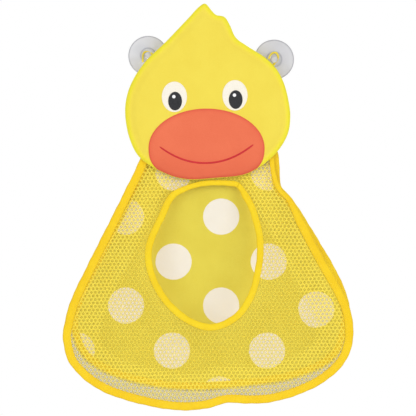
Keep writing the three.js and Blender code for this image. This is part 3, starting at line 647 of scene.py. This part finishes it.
def braided_cord(name, route):
    """A round cord whose surface shows two sets of crossing strands."""
    line = flow(route, False, 260)
    across, other = transported(line)
    count, plaits, lay = 20, 4, 3.4
    far = travel(line)
    turn = np.arange(count) * 2 * math.pi / count
    twist = plaits * turn[None, :]
    along = 2 * math.pi * far[:, None] / lay
    strands = np.maximum(np.sin(twist + along), np.sin(twist - along))
    from_end = np.minimum(1, np.minimum(far, far[-1] - far) / CORD_RADIUS)
    end = np.sqrt(np.maximum(1 - (1 - from_end) ** 2, 0.02))
    radius = CORD_RADIUS * (0.955 + 0.045 * strands) * end[:, None]
    spokes = np.cos(turn)[:, None] * across[:, None] + np.sin(turn)[:, None] * other[:, None]
    rings = line[:, None] + radius[..., None] * spokes
    return mesh_piece(name, *capped(rings), CORD), line


for side, item in HANGERS.items():
    route = loop_route(item["out"], item["cup"], item["offset"], item["slack"])
    cord, line = braided_cord(f"cord_loop_{side}", route)
    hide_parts(f"loop_{side}")
    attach(cord, f"hanger_{side}")


# Suction cups
def arc(middle, reach, start, stop, steps):
    turn = np.radians(np.linspace(start, stop, steps))
    return [(middle[0] + reach[0] * math.cos(t), middle[1] + reach[1] * math.sin(t)) for t in turn]


def cup_profile():
    neck_end = CUP_DOME + CUP_NECK_LENGTH
    knob_end = neck_end + CUP_KNOB_HEIGHT
    shoulder = CUP_DOME - CUP_HUB_STEP
    share = np.linspace(0.06, 1, 18)
    reach = CUP_HUB_RADIUS + share * (CUP_RADIUS - CUP_HUB_RADIUS)
    skirt = zip(reach, CUP_LIP + (1 - share) ** 1.3 * (shoulder - CUP_LIP))
    within = np.linspace(0.97, 0.03, 18)
    hollow = zip(within * (CUP_RADIUS - CUP_RIM), (1 - within**1.8) * CUP_HOLLOW)
    return [
        (0.02, knob_end),
        (1.3, knob_end),
        *arc((2.5, knob_end - 2), (CUP_KNOB_RADIUS - 2.5, 2), 90, 0, 8),
        *arc((CUP_KNOB_RADIUS - 0.7, neck_end + 0.7), (0.7, 0.7), 0, -90, 5),
        *arc((CUP_NECK_RADIUS + 0.5, neck_end - 0.5), (-0.5, 0.5), 90, 0, 4),
        *arc((CUP_NECK_RADIUS + 0.7, CUP_DOME + 0.7), (-0.7, -0.7), 0, 90, 5),
        *arc((CUP_HUB_RADIUS - 0.7, CUP_DOME - 0.7), (0.7, 0.7), 90, 0, 6),
        (CUP_HUB_RADIUS, shoulder + 0.3),
        *skirt,
        (CUP_RADIUS, 0.75),
        (CUP_RADIUS, 0.25),
        (CUP_RADIUS - 0.25, 0),
        (CUP_RADIUS - CUP_RIM, 0),
        *hollow,
    ]


def suction_cup(name, cup):
    rings = [raised(cup + r * circle(96), -d) for r, d in cup_profile()]
    points, faces = capped(np.array(rings))
    reach = np.hypot(*(points[:, [0, 2]] - cup).T)
    thick = 0.8 * hump(reach, CUP_RADIUS - 0.3, 0.9) + 0.75 * hump(reach, CUP_HUB_RADIUS, 1.0)
    thick += 0.4 * hump(reach, CUP_KNOB_RADIUS, 0.6)
    return mesh_piece(name, points, faces, VINYL, marks={"thick": thick})


for side, item in HANGERS.items():
    cup = suction_cup(f"clear_cup_{side}", item["cup"])
    own(cup, "clear_vinyl", f"cup_{side}", f"suction_cup_{side}")


# Head: the padded front, the flat back and the face
def padded_head():
    back_y = HEAD_BACK_Y - HEAD_BACK_CLOTH - SEAM_GAP
    insets = [0.0, 0.2, 0.5, 1, 1.7, 2.5, 3.5, 4.6, 5.8, 7, 8.2, 9.5, 11, 13, 15, 18]
    front = dome_rings(HEAD_LINE, HEAD_MIDDLE, insets, np.linspace(0.92, 0.04, 18))
    rear = dome_rings(HEAD_LINE, HEAD_MIDDLE, [0.5, 0.15], [0.8, 0.4, 0.05])[[4, 3, 2, 0, 1]]
    rows = [raised(r, back_y - rise) for r, rise in zip(rear, (0, 0, 0, 0.05, 0.35))]
    rows += [raised(r, head_front(*r.T)) for r in front]
    points, faces = capped(np.array(rows))
    rim = 1 - np.clip(away(points[:, [0, 2]], HEAD_LINE) / 8.5, 0, 1)
    return mesh_piece("duck_head", points, faces, HEAD_CLOTH, marks={"rim": rim})


def flat_back():
    """The cloth on the back of the head, turned in at its edge."""
    insets = [0.0, 0.3, 0.8, 2, 4, 7, 12]
    rings = dome_rings(HEAD_LINE, HEAD_MIDDLE, insets, np.linspace(0.85, 0.05, 10))
    lift = [0.45, 0.15, 0.02, 0.1, 0.18, 0.1, 0] + [0] * 10
    near = [raised(r, HEAD_BACK_Y - rise) for r, rise in zip(rings, lift)]
    far = [raised(r, HEAD_BACK_Y - HEAD_BACK_CLOTH) for r in rings[[16, 10, 4, 1]]]
    return mesh_piece("head_back_cloth", *capped(np.array(far + near)), HEAD_BACK)


head = own(padded_head(), "head_cloth", "head_and_back", "head_front_panel", "head_foam_pad")
head_back = own(flat_back(), "head_cloth_back", "head_and_back", "head_back_panel")


def face_patch(name, outline, middle, base, rise, round_in, material):
    """A cloth patch that follows the head, with a rounded edge."""
    insets = round_in * np.array([0, 0.08, 0.25, 0.5, 1.0, 1.8])
    shares = np.linspace(0.9, 0.05, 12)
    rings = dome_rings(outline, middle, insets, shares)
    profile = np.sqrt(1 - (1 - np.clip(insets / round_in, 0, 1)) ** 2)
    lift = np.concatenate([profile, np.ones(len(shares))])
    heights = head_front(rings[..., 0], rings[..., 1])
    under = [raised(r, y - base) for r, y in zip(rings, heights)][::-1]
    over = [raised(r, y - base - 0.12 - rise * s) for r, y, s in zip(rings, heights, lift)]
    points, faces = capped(np.array(under + over))
    edge = 1 - np.clip(away(points[:, [0, 2]], outline) / 3.0, 0, 1)
    return mesh_piece(name, points, faces, material, marks={"edge": edge})


def beak_outline(count):
    """An oval with a squarer lower half, held inside the head's rim."""
    ray = circle(count)
    height = np.where(ray[:, 1] > 0, BEAK_RISE, BEAK_DROP)
    power = np.where(ray[:, 1] > 0, 2.0, 2.5)
    total = np.abs(2 * ray[:, 0] / BEAK_WIDTH) ** power + np.abs(ray[:, 1] / height) ** power
    room = head_reach((BEAK_X, BEAK_Z), ray) - BEAK_MARGIN
    return ray * np.minimum(total ** (-1 / power), room)[:, None] + (BEAK_X, BEAK_Z)


def smile(base):
    """A stitched line with a rounded section that thins at both ends."""
    s = np.linspace(-1, 1, 121)
    rise = SMILE_SAG * np.abs(s) ** 2.1 + SMILE_TILT * s
    path = np.stack([BEAK_X + s * SMILE_WIDTH / 2, SMILE_LOW_Z + rise], 1)
    side = sides_of(path, False, 2)
    thinned = np.clip(1 - np.abs(s) ** 40, 0.05, 1) ** 0.5 * (1 - 0.15 * np.abs(s) ** 3)
    half = (SMILE_LINE / 2 * thinned)[:, None]
    turn = np.linspace(0, math.pi, 9)
    x, z = (path[:, [k]] + side[:, [k]] * half * np.cos(turn) for k in (0, 1))
    y = head_front(x, z) - base - half * np.sin(turn) * 0.75
    return mesh_piece("smile_thread", *capped(np.stack([x, y, z], 2)), SMILE_PRINT)


beak = face_patch("beak_patch", beak_outline(300), (BEAK_X, BEAK_Z), 0.05, 0.75, 1.0, BEAK_CLOTH)
own(beak, "beak_cloth", "head_and_back", "beak_applique")
own(smile(0.95), "smile_print", "head_and_back", "smile_line")
for sign, side in ((-1, "left"), (1, "right")):
    eye = np.array([EYE_X + sign * EYE_SPACING / 2, EYE_Z + sign * EYE_TILT])
    pupil = eye + (PUPIL_SHIFT, -PUPIL_DROP)
    glint = pupil + (GLINT_SHIFT, GLINT_RISE)
    for name, slot, middle, size, count, *layer in (
        ("eye", "eye_white", eye, EYE_SIZE, 120, 0.05, 0.55, 0.7, EYE_WHITE),
        ("pupil_disc", "pupil", pupil, PUPIL_SIZE, 96, 0.75, 0.4, 0.6, PUPIL),
        ("glint", "eye_glint", glint, GLINT_SIZE, 48, 1.3, 0.3, 0.5, GLINT),
    ):
        outline = circle(count) * size / 2 + middle
        patch = face_patch(f"{name}_{side}", outline, middle, *layer)
        own(patch, slot, "head_and_back", f"{slot}_{side}")


# Bag: its outlines, folded tapes and stitches
def bag_side(shape):
    path = flow(placed(shape, BAG_X, BAG_TOP_Z, BAG_WIDTH / 2, BAG_HEIGHT), False, 560)
    return path, sides_of(path, False, 6)


FRONT_PATH, FRONT_SIDES = bag_side(FRONT_SHAPE)
BACK_PATH, BACK_SIDES = bag_side(BACK_SHAPE)
MOUTH_PATH = flow(
    placed(MOUTH_SHAPE, MOUTH_X, MOUTH_Z, MOUTH_WIDTH / 2, MOUTH_HEIGHT / 2), True, 300
)
MOUTH_SIDES = sides_of(MOUTH_PATH, True, 6)
SEAT = TAPE_FOLD + SLOT_GAP


def pressed(z):
    """Under the chin the tapes are sewn flatter, which leaves room for the front to fold back."""
    return 1 - NECK_PRESS * ease((z - BAG_TOP_Z + NECK_PRESS_DEPTH) / NECK_PRESS_FADE)


def tape_lay(far, section):
    """Flat coordinates along and across a tape."""
    return np.stack(np.meshgrid(far, travel(section), indexing="ij"), 2).reshape(-1, 2) * MM


def folded_tape(name, path, sides, width, slot, depth, material, wobble, narrow=1.0, lap=0.0):
    """A tape folded over an edge: a soft fold, two leaves and the slot between them."""
    half = slot + TAPE_WALL
    top = [(1.0, width + 0.1), (1.0, 0.8 * width), (1.03, 0.5 * width), (1.0, 2.4), (0.86, 1.1)]
    leaf = [(n, half * r) for r, n in top]
    fold = [(0.35, 0.55 * half), (0.0, 0.0), (0.35, -0.55 * half)]
    lip = [(width + 0.25, (half + slot) / 2)]
    slot_end = TAPE_FOLD + 0.3
    grip = [(width, -slot), (slot_end, -slot), (TAPE_FOLD, 0.0), (slot_end, slot), (width, slot)]
    rear = [(n, -r) for n, r in (lip + leaf)[::-1]]
    section = np.array(leaf + fold + rear + grip + lip)
    far = travel(path)
    sway = waves(far, 0, [(0.16, 0.21, 0, wobble), (0.12, 0.47, 0, 2.1 * wobble)])
    swell = 1 + waves(far, 0, [(0.03, 0.33, 0, 3 * wobble), (0.025, 0.71, 0, wobble)])
    swell = (swell + lap * ease(1 - far / 9)) * pressed(path[:, 1])
    reach = section[:, 0] * np.broadcast_to(narrow, far.shape)[:, None]
    reach = reach + sway[:, None] * (section[:, 0] < 3)
    x, z = (path[:, [k]] + sides[:, [k]] * reach for k in (0, 1))
    points = np.stack([x, depth(x, z) + section[:, 1] * swell[:, None], z], 2)
    faces = tube_faces(len(path), len(section))
    return mesh_piece(name, points, faces, material, uv=tape_lay(far, section))


def stitch_row(name, path, sides, reach, height, depth):
    """Short thread stitches along a tape, on its front and its back leaf."""
    x, z = (path + sides * np.broadcast_to(reach, len(path))[:, None]).T
    line = np.stack([x, z, depth(x, z)], 1)
    far = travel(line[:, :2])
    taper = np.array([0.25, 0.8, 1.0, 0.8, 0.25])[:, None]
    sink = 0.084 - 0.18 * taper
    across, upright = STITCH_RADIUS * taper * circle(6).T[:, None]
    points, faces = [], []
    for start in np.arange(STITCH_PITCH, far[-1] - STITCH_PITCH, STITCH_PITCH):
        at = start + np.linspace(0, STITCH_LENGTH, len(taper))
        x, z, y = sampled(at, far, line).T[..., None]
        dx, dz = x[-1] - x[0], z[-1] - z[0]
        size = np.hypot(dx, dz)
        rise = height * pressed(z) - sink + upright
        x, z = x - dz / size * across, z + dx / size * across
        for leaf in (-1, 1):
            stitch = tube_faces(*x.shape, x.size * len(points))
            faces += stitch if leaf < 0 else [f[::-1] for f in stitch]
            points.append(np.stack([x, y + leaf * rise, z], 2))
    return mesh_piece(name, points, faces, STITCH)


def below_neck(path, sides):
    keep = path[:, 1] < BAG_TOP_Z - NECK_TAPE_HEIGHT - SEAM_GAP
    return path[keep], sides[keep]


NET_SLOT = NET_THICKNESS / 2 + SLOT_GAP
CLOTH_SLOT = BACK_CLOTH / 2 + SLOT_GAP
front_edge, front_sides = below_neck(FRONT_PATH, FRONT_SIDES)
back_edge, back_sides = below_neck(BACK_PATH, BACK_SIDES)
# The front tape turns edge-on beside the right of the neck
front_narrow = 1 - 0.42 * ease((front_edge[:, 1] - BAG_TOP_Z + 92) / 34) * (front_edge[:, 0] > 0)
front_tape = folded_tape(
    "front_tape", front_edge, front_sides, TAPE_WIDTH, NET_SLOT, front_depth, BINDING, 1.3,
    front_narrow,
)
own(front_tape, "binding", "net_front", "front_binding")
back_tape = folded_tape(
    "back_tape", back_edge, back_sides, TAPE_WIDTH, CLOTH_SLOT, back_depth, BINDING_BACK_LIT, 0.4
)
own(back_tape, "binding_back", "head_and_back", "back_binding")


def lapped(rows):
    """The mouth's rows, from its upper right corner round to a little past it."""
    rows = np.roll(rows, -int(np.argmax(MOUTH_PATH @ (0.6, 0.8))), 0)
    return np.concatenate([rows, rows[:MOUTH_LAP]])


# The mouth's tape laps over its own end, and it is pulled narrower along the top
mouth_lift = MOUTH_TOP_PULL * ease((MOUTH_PATH[:, 1] - MOUTH_PATH[:, 1].max() + 14) / 9)
mouth_edge = lapped(MOUTH_PATH + (mouth_lift - MOUTH_INWARD)[:, None] * MOUTH_SIDES)
mouth_sides = lapped(MOUTH_SIDES)
mouth_width = MOUTH_TAPE_WIDTH + MOUTH_TAPE_SPARE
mouth_narrow = 1 - lapped(mouth_lift) / mouth_width
mouth_tape = folded_tape(
    "mouth_tape", mouth_edge, mouth_sides, mouth_width, NET_SLOT, front_depth, BINDING_MOUTH, 2.2,
    mouth_narrow, lap=0.2,
)
own(mouth_tape, "binding", "net_front", "opening_binding")
front_reach = front_narrow * TAPE_WIDTH - STITCH_INSET
back_reach = TAPE_WIDTH - STITCH_INSET
mouth_reach = mouth_width * mouth_narrow - 1.6
sewn = slice(8, -8)
for name, path, sides, reach, slot, depth, body in (
    ("front_stitches", front_edge, front_sides, front_reach, NET_SLOT, front_depth, "net_front"),
    ("back_stitches", back_edge, back_sides, back_reach, CLOTH_SLOT, back_depth, "head_and_back"),
    ("mouth_stitches", mouth_edge[sewn], mouth_sides[sewn], mouth_reach[sewn], NET_SLOT,
     front_depth, "net_front"),
):
    row = stitch_row(name, path, sides, reach, slot + TAPE_WALL, depth)
    own(row, "binding", body)


# The back panel: printed cloth hung from the neck
def panel_loop(path, sides):
    seated = path + sides * SEAT
    top = np.linspace(seated[-1], seated[0], 60)[1:-1]
    top[:, 1] = BAG_TOP_Z
    return np.vstack([seated, top])


def back_cloth():
    loop = panel_loop(BACK_PATH, BACK_SIDES)
    middle = (BAG_X, BAG_TOP_Z - 0.62 * BAG_HEIGHT)
    rings = dome_rings(loop, middle, [0, 4, 8, 12, 17, 23, 30], np.linspace(0.93, 0.03, 22))
    folds = [(0.5, 0.061, 0.011, 0.4), (0.35, 0.037, -0.03, 1.7), (0.22, 0.11, 0.04, 3.3)]
    rows = []
    for ring in rings:
        free = np.clip((away(ring, loop) - 8) / 25, 0, 1)
        sag = (0.6 + 0.8 * waves(*ring.T, folds)) * free
        rows.append(raised(ring, back_depth(*ring.T) - sag))
    leaf = np.array([0, BACK_CLOTH / 2, 0])
    leaves = [row + leaf for row in rows[::-1]] + [row - leaf for row in rows]
    return mesh_piece("back_cloth", *capped(np.array(leaves)), DOTTED)


back_cloth_piece = own(back_cloth(), "dotted_cloth", "head_and_back", "back_panel")


# Nets
def hex_net(name, cells, holes, doubled, lay, material, hems=()):
    """Knitted net: round holes in staggered rows, and rounded strands between them."""
    ray = circle(12)
    reach = np.where(np.arange(12) % 2 == 0, MESH_PITCH / 2, MESH_PITCH / math.sqrt(3))
    rim = (cells[:, None] + ray * reach[:, None]).reshape(-1, 2)
    _, first, index = np.unique(np.round(rim, 2), axis=0, return_index=True, return_inverse=True)
    rim = rim[first]
    index = index.reshape(-1, 12)
    hole = (cells[:, None] + ray * (0.94, 1.07) * holes[:, None, None]).reshape(-1, 2)
    layers = np.concatenate([doubled[first // 12], doubled[first // 12], np.repeat(doubled, 12)])
    rims = np.repeat([0.0, 1.0], [2 * len(rim), len(hole)])
    knots = np.zeros(len(rim))
    np.add.at(knots, index[:, 1::2].ravel(), MESH_KNOT)
    points = np.vstack([
        lay(*rim.T, MESH_RELIEF + knots),
        lay(*rim.T, -MESH_RELIEF - knots),
        lay(*hole.T, 0),
    ])
    count = len(rim)
    ring = 2 * count + np.arange(len(hole)).reshape(-1, 12)
    nxt, ring_next = np.roll(index, -1, 1), np.roll(ring, -1, 1)
    over = np.stack([index, nxt, ring_next, ring], 2).reshape(-1, 4)
    under = np.stack([ring, ring_next, nxt + count, index + count], 2).reshape(-1, 4)
    edges = np.stack([index, nxt], 2).reshape(-1, 2)
    _, where, seen = np.unique(np.sort(edges, 1), axis=0, return_index=True, return_counts=True)
    a, b = edges[where[seen == 1]].T
    wall = np.stack([b, a, a + count, b + count], 1)
    faces = np.vstack([over, under, wall]).tolist()
    for more, more_faces in hems:
        faces += [tuple(i + len(points) for i in f) for f in more_faces]
        points = np.vstack([points, more])
    rest = (0, len(points) - len(rims))
    marks = {"doubled": np.pad(layers, rest), "rim": np.pad(rims, rest)}
    return mesh_piece(name, points, faces, material, marks=marks)


def lattice(low, high):
    rise = MESH_PITCH * math.sqrt(3) / 2
    rows = np.arange(math.floor(low[1] / rise), math.ceil(high[1] / rise) + 1)
    columns = np.arange(math.floor(low[0] / MESH_PITCH) - 1, math.ceil(high[0] / MESH_PITCH) + 1)
    u = (columns[None, :] + (rows[:, None] % 2) / 2) * MESH_PITCH
    v = np.broadcast_to(rows[:, None] * rise, u.shape)
    return np.stack([u.ravel(), v.ravel()], 1)


PULL = [(0.55, 0.035, 0.021, 0.3), (0.4, -0.022, 0.047, 1.1), (0.25, 0.09, 0.03, 2.0)]


def front_lay(u, v, rise):
    """The net is pulled a little out of true, and follows the bag's front."""
    x = u + waves(u, v, PULL)
    z = v + waves(v, u, PULL)
    return np.stack([x, front_depth(x, z) - rise, z], 1)


def front_net():
    loop = panel_loop(FRONT_PATH, FRONT_SIDES)
    cells = lattice(loop.min(0), loop.max(0))
    spread = front_lay(*cells.T, 0)[:, [0, 2]]
    keep = inside(spread, loop) & (away(spread, loop) > NET_MARGIN)
    mouth = MOUTH_PATH + MOUTH_SIDES * SEAT
    keep &= ~inside(spread, mouth) & (away(spread, mouth) > NET_MARGIN)
    cells, spread = cells[keep], spread[keep]
    doubled = ease((DOUBLED_REACH - away(spread, FRONT_PATH, False)) / 6)
    doubled *= inside(spread, panel_loop(BACK_PATH, BACK_SIDES))
    holes = MESH_HOLE + doubled * (DOUBLED_HOLE - MESH_HOLE)
    return hex_net("front_net", cells, holes, doubled, front_lay, NET)


front_net_piece = own(front_net(), "net", "net_front", "front_mesh")
front_net_piece.visible_shadow = False


def gusset_edges():
    """The strip's edge on the front tape, its edge on the back tape, and the way out of the bag."""
    net_seat = NET_SLOT + TAPE_WALL + SEAM_GAP
    back_seat = CLOTH_SLOT + TAPE_WALL + SEAM_GAP
    near = FRONT_PATH + FRONT_SIDES * GUSSET_INSET
    within = np.where(inside(BACK_PATH, panel_loop(FRONT_PATH, 0 * FRONT_SIDES)), 1, -1)
    lead = within * away(BACK_PATH, FRONT_PATH, False)
    rear = BACK_PATH + BACK_SIDES * np.clip(GUSSET_COVER - lead, *GUSSET_INSETS)[:, None]
    y_near = front_depth(*near.T) + net_seat
    y_rear = back_depth(*rear.T) - back_seat
    keep = y_rear - y_near > GUSSET_LEAST_DEPTH
    edges = (raised(near, y_near), raised(rear, y_rear), raised(-FRONT_SIDES, 0))
    return [rows[keep] for rows in edges]


def fold_planes(near, rear):
    """Two parallel planes at the strip's edges, where it follows the back and the front."""
    edges = np.vstack([rear, near])[:, 1:]
    wanted = np.repeat([0.0, 1.0], len(near))
    y, z, level = np.linalg.lstsq(np.c_[edges, np.ones(len(edges))], wanted, rcond=None)[0]
    step = np.array([0, y, z]) / (y * y + z * z)
    start = -level * step
    return start * MM, (start + step) * MM


def gusset():
    """A pale net strip between the tapes, whose hems stay on them when the front folds."""
    near, rear, out = gusset_edges()
    depth = lengths(rear - near)
    bow = GUSSET_BOW * np.minimum(1, (rear - near)[:, 1] / BAG_FLARE)
    far = travel(near)

    def lay(s, d, rise):
        t = np.clip(d / np.interp(s, far, depth), 0, 1)
        a, b, n = (sampled(s, far, rows) for rows in (near, rear, out))
        swell = np.interp(s, far, bow) * np.sin(math.pi * t) + rise
        return a + t[:, None] * (b - a) + swell[:, None] * n

    def hem(start, stop, count, front):
        s = np.linspace(start, stop, count)
        size = np.interp(s, far, depth)
        wide = np.minimum(HEM_WIDTH, 0.45 * size)
        section = ((0.0, 0.5), (0.35, 0.55), (1.0, 0.45), (1.0, -0.45), (0.35, -0.55), (0.0, -0.5))
        rows = [lay(s, n * wide if front else size - n * wide, rise) for n, rise in section]
        points = np.stack(rows, 1).reshape(-1, 3)
        faces = tube_faces(count, len(section))
        return points, [f[::-1] for f in faces] if front else faces

    # Under the chin the folded front leaves no room for stiff hems, so there they are built into
    # the net
    room = (rear - near)[:, 1] - math.sin(FOLD_MOST) * (BAG_TOP_Z - near[:, 2])
    stiff = far[room > 2 * HEM_WIDTH + 2 * SEAM_GAP]
    hems = []
    for name, body in (("side_hem_front", "net_front"), ("side_hem_back", "head_and_back")):
        points, faces = hem(stiff[0], stiff[-1], 380, body == "net_front")
        piece = mesh_piece(name, points, faces, PALE_NET, marks={"doubled": np.zeros(len(points))})
        hems.append(own(piece, "pale_net", body))
    upper = ((0, stiff[0]), (stiff[-1], far[-1]))
    ends = [hem(*part, 30, front) for part in upper for front in (True, False)]

    cells = lattice((0, 0), (far[-1], depth.max()))
    room = np.interp(cells[:, 0], far, depth)
    keep = (cells[:, 1] > NET_MARGIN) & (cells[:, 1] < room - NET_MARGIN)
    keep &= (cells[:, 0] > 3) & (cells[:, 0] < far[-1] - 3)
    cells = cells[keep]
    nets = []
    for name, high in (("side_net_low", False), ("side_net_high", True)):
        there = (near[:, 2] > GUSSET_SPLIT_Z) == high
        held = cells[(np.interp(cells[:, 0], far, near[:, 2]) > GUSSET_SPLIT_Z) == high]
        holes, single = np.full(len(held), SIDE_HOLE), np.zeros(len(held))
        net = hex_net(name, held, holes, single, lay, PALE_NET, ends if high else [])
        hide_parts("gusset_mesh")
        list(fold_planes(near[there], rear[there]))
        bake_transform(net)
        nets.append(net)
    return hems + nets


for piece in gusset():
    piece.visible_shadow = False


# The neck band: an upside-down channel over the top edges of net and back cloth
def neck_band():
    front = FRONT_TOP_Y - NET_THICKNESS / 2 - SEAM_GAP
    rear = BACK_TOP_Y + BACK_CLOTH / 2 + SEAM_GAP
    roof, foot = BAG_TOP_Z + SEAM_GAP, BAG_TOP_Z - NECK_TAPE_HEIGHT
    wall = NECK_TAPE_WALL
    leaf = [(0, foot + 0.3), (0.15, foot + 4), (0, roof - 1.5)]
    outer = [(front - wall - swell, z) for swell, z in leaf]
    outer += arc((front + 1.4, roof - 1.4), (-1.4 - wall, 1.4 + wall), 10, 90, 6)
    outer += arc((rear - 1.4, roof - 1.4), (1.4 + wall, 1.4 + wall), 90, 10, 6)
    outer += [(rear + wall + swell, z) for swell, z in leaf[::-1]]
    lip = [(-wall / 2, foot), (0, foot + 0.3), (0, roof - 0.3), (0.3, roof)]
    inner = [(rear - n, z) for n, z in lip] + [(front + n, z) for n, z in lip[::-1]]
    section = np.array(outer + inner)
    low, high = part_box("neck_tape")
    x = np.linspace(low.x / MM, high.x / MM, 120)
    sway = waves(x, 0, [(0.12, 0.19, 0, 0.5), (0.08, 0.43, 0, 1.4)])
    y, z = section.T
    points = np.stack(np.broadcast_arrays(x[:, None], y, z + sway[:, None]), 2)
    faces = tube_faces(len(x), len(section))
    return mesh_piece("neck_band", points, faces, BINDING, uv=tape_lay(x, section))


own(neck_band(), "binding", "head_and_back", "neck_tape")


# Stage: a pale floor well below the bag, soft lamps and an even white surround
FLOOR_RADIUS, FLOOR_Z = 1.4, -1.3


def pale_floor():
    mesh = bpy.data.meshes.new("floor")
    edge = [(x, y, FLOOR_Z) for x, y in FLOOR_RADIUS * circle(96)]
    mesh.from_pydata(edge, [], [tuple(range(96))])
    s = Shader("floor", Roughness=0.9, Specular_IOR_Level=0.2)
    mesh.materials.append(s.paint(s.mix(s.noise(3, 2), srgb(247, 247, 247), srgb(243, 243, 243))))
    floor = bpy.data.objects.new("floor", mesh)
    scene.collection.objects.link(floor)
    return floor


pale_floor()


def lamp(name, place, size, power):
    data = bpy.data.lights.new(name, "AREA")
    data.shape = "DISK"
    data.size = size
    data.energy = power
    made = bpy.data.objects.new(name, data)
    made.location = place
    aim = np.array((0, -0.03, -0.17)) - np.array(place)
    tilt = math.acos(-aim[2] / np.linalg.norm(aim))
    made.rotation_euler = (tilt, 0, math.atan2(aim[1], aim[0]) - math.pi / 2)
    made.visible_camera = False
    scene.collection.objects.link(made)


lamp("key_lamp", (-1.2, -2.4, 0.4), 2.2, 25.2)
lamp("fill_lamp", (1.6, -2.2, 0.1), 2.0, 24.2)
lamp("back_lamp", (0.4, 2.2, 1.2), 1.4, 18)


def surround(even):
    """White to the eye, to gloss and through clear vinyl; an even light for the rest."""
    world = bpy.data.worlds.new("surround")
    scene.world = world
    world.use_nodes = True
    n = Nodes(world.node_tree)
    n.tree.nodes.clear()
    path = n.node("ShaderNodeLightPath").outputs
    seen = path["Is Camera Ray"]
    for kind in ("Is Glossy Ray", "Is Transmission Ray"):
        seen = n.math("MAXIMUM", seen, path[kind])
    sockets = {0: seen}
    for k, strength in enumerate((even, 1.0), 1):
        plain = {"Color": (1, 1, 1, 1), "Strength": strength}
        sockets[k] = n.node("ShaderNodeBackground", plain).outputs[0]
    mixed = n.node("ShaderNodeMixShader", sockets).outputs[0]
    n.node("ShaderNodeOutputWorld", {0: mixed})


surround(0.5)
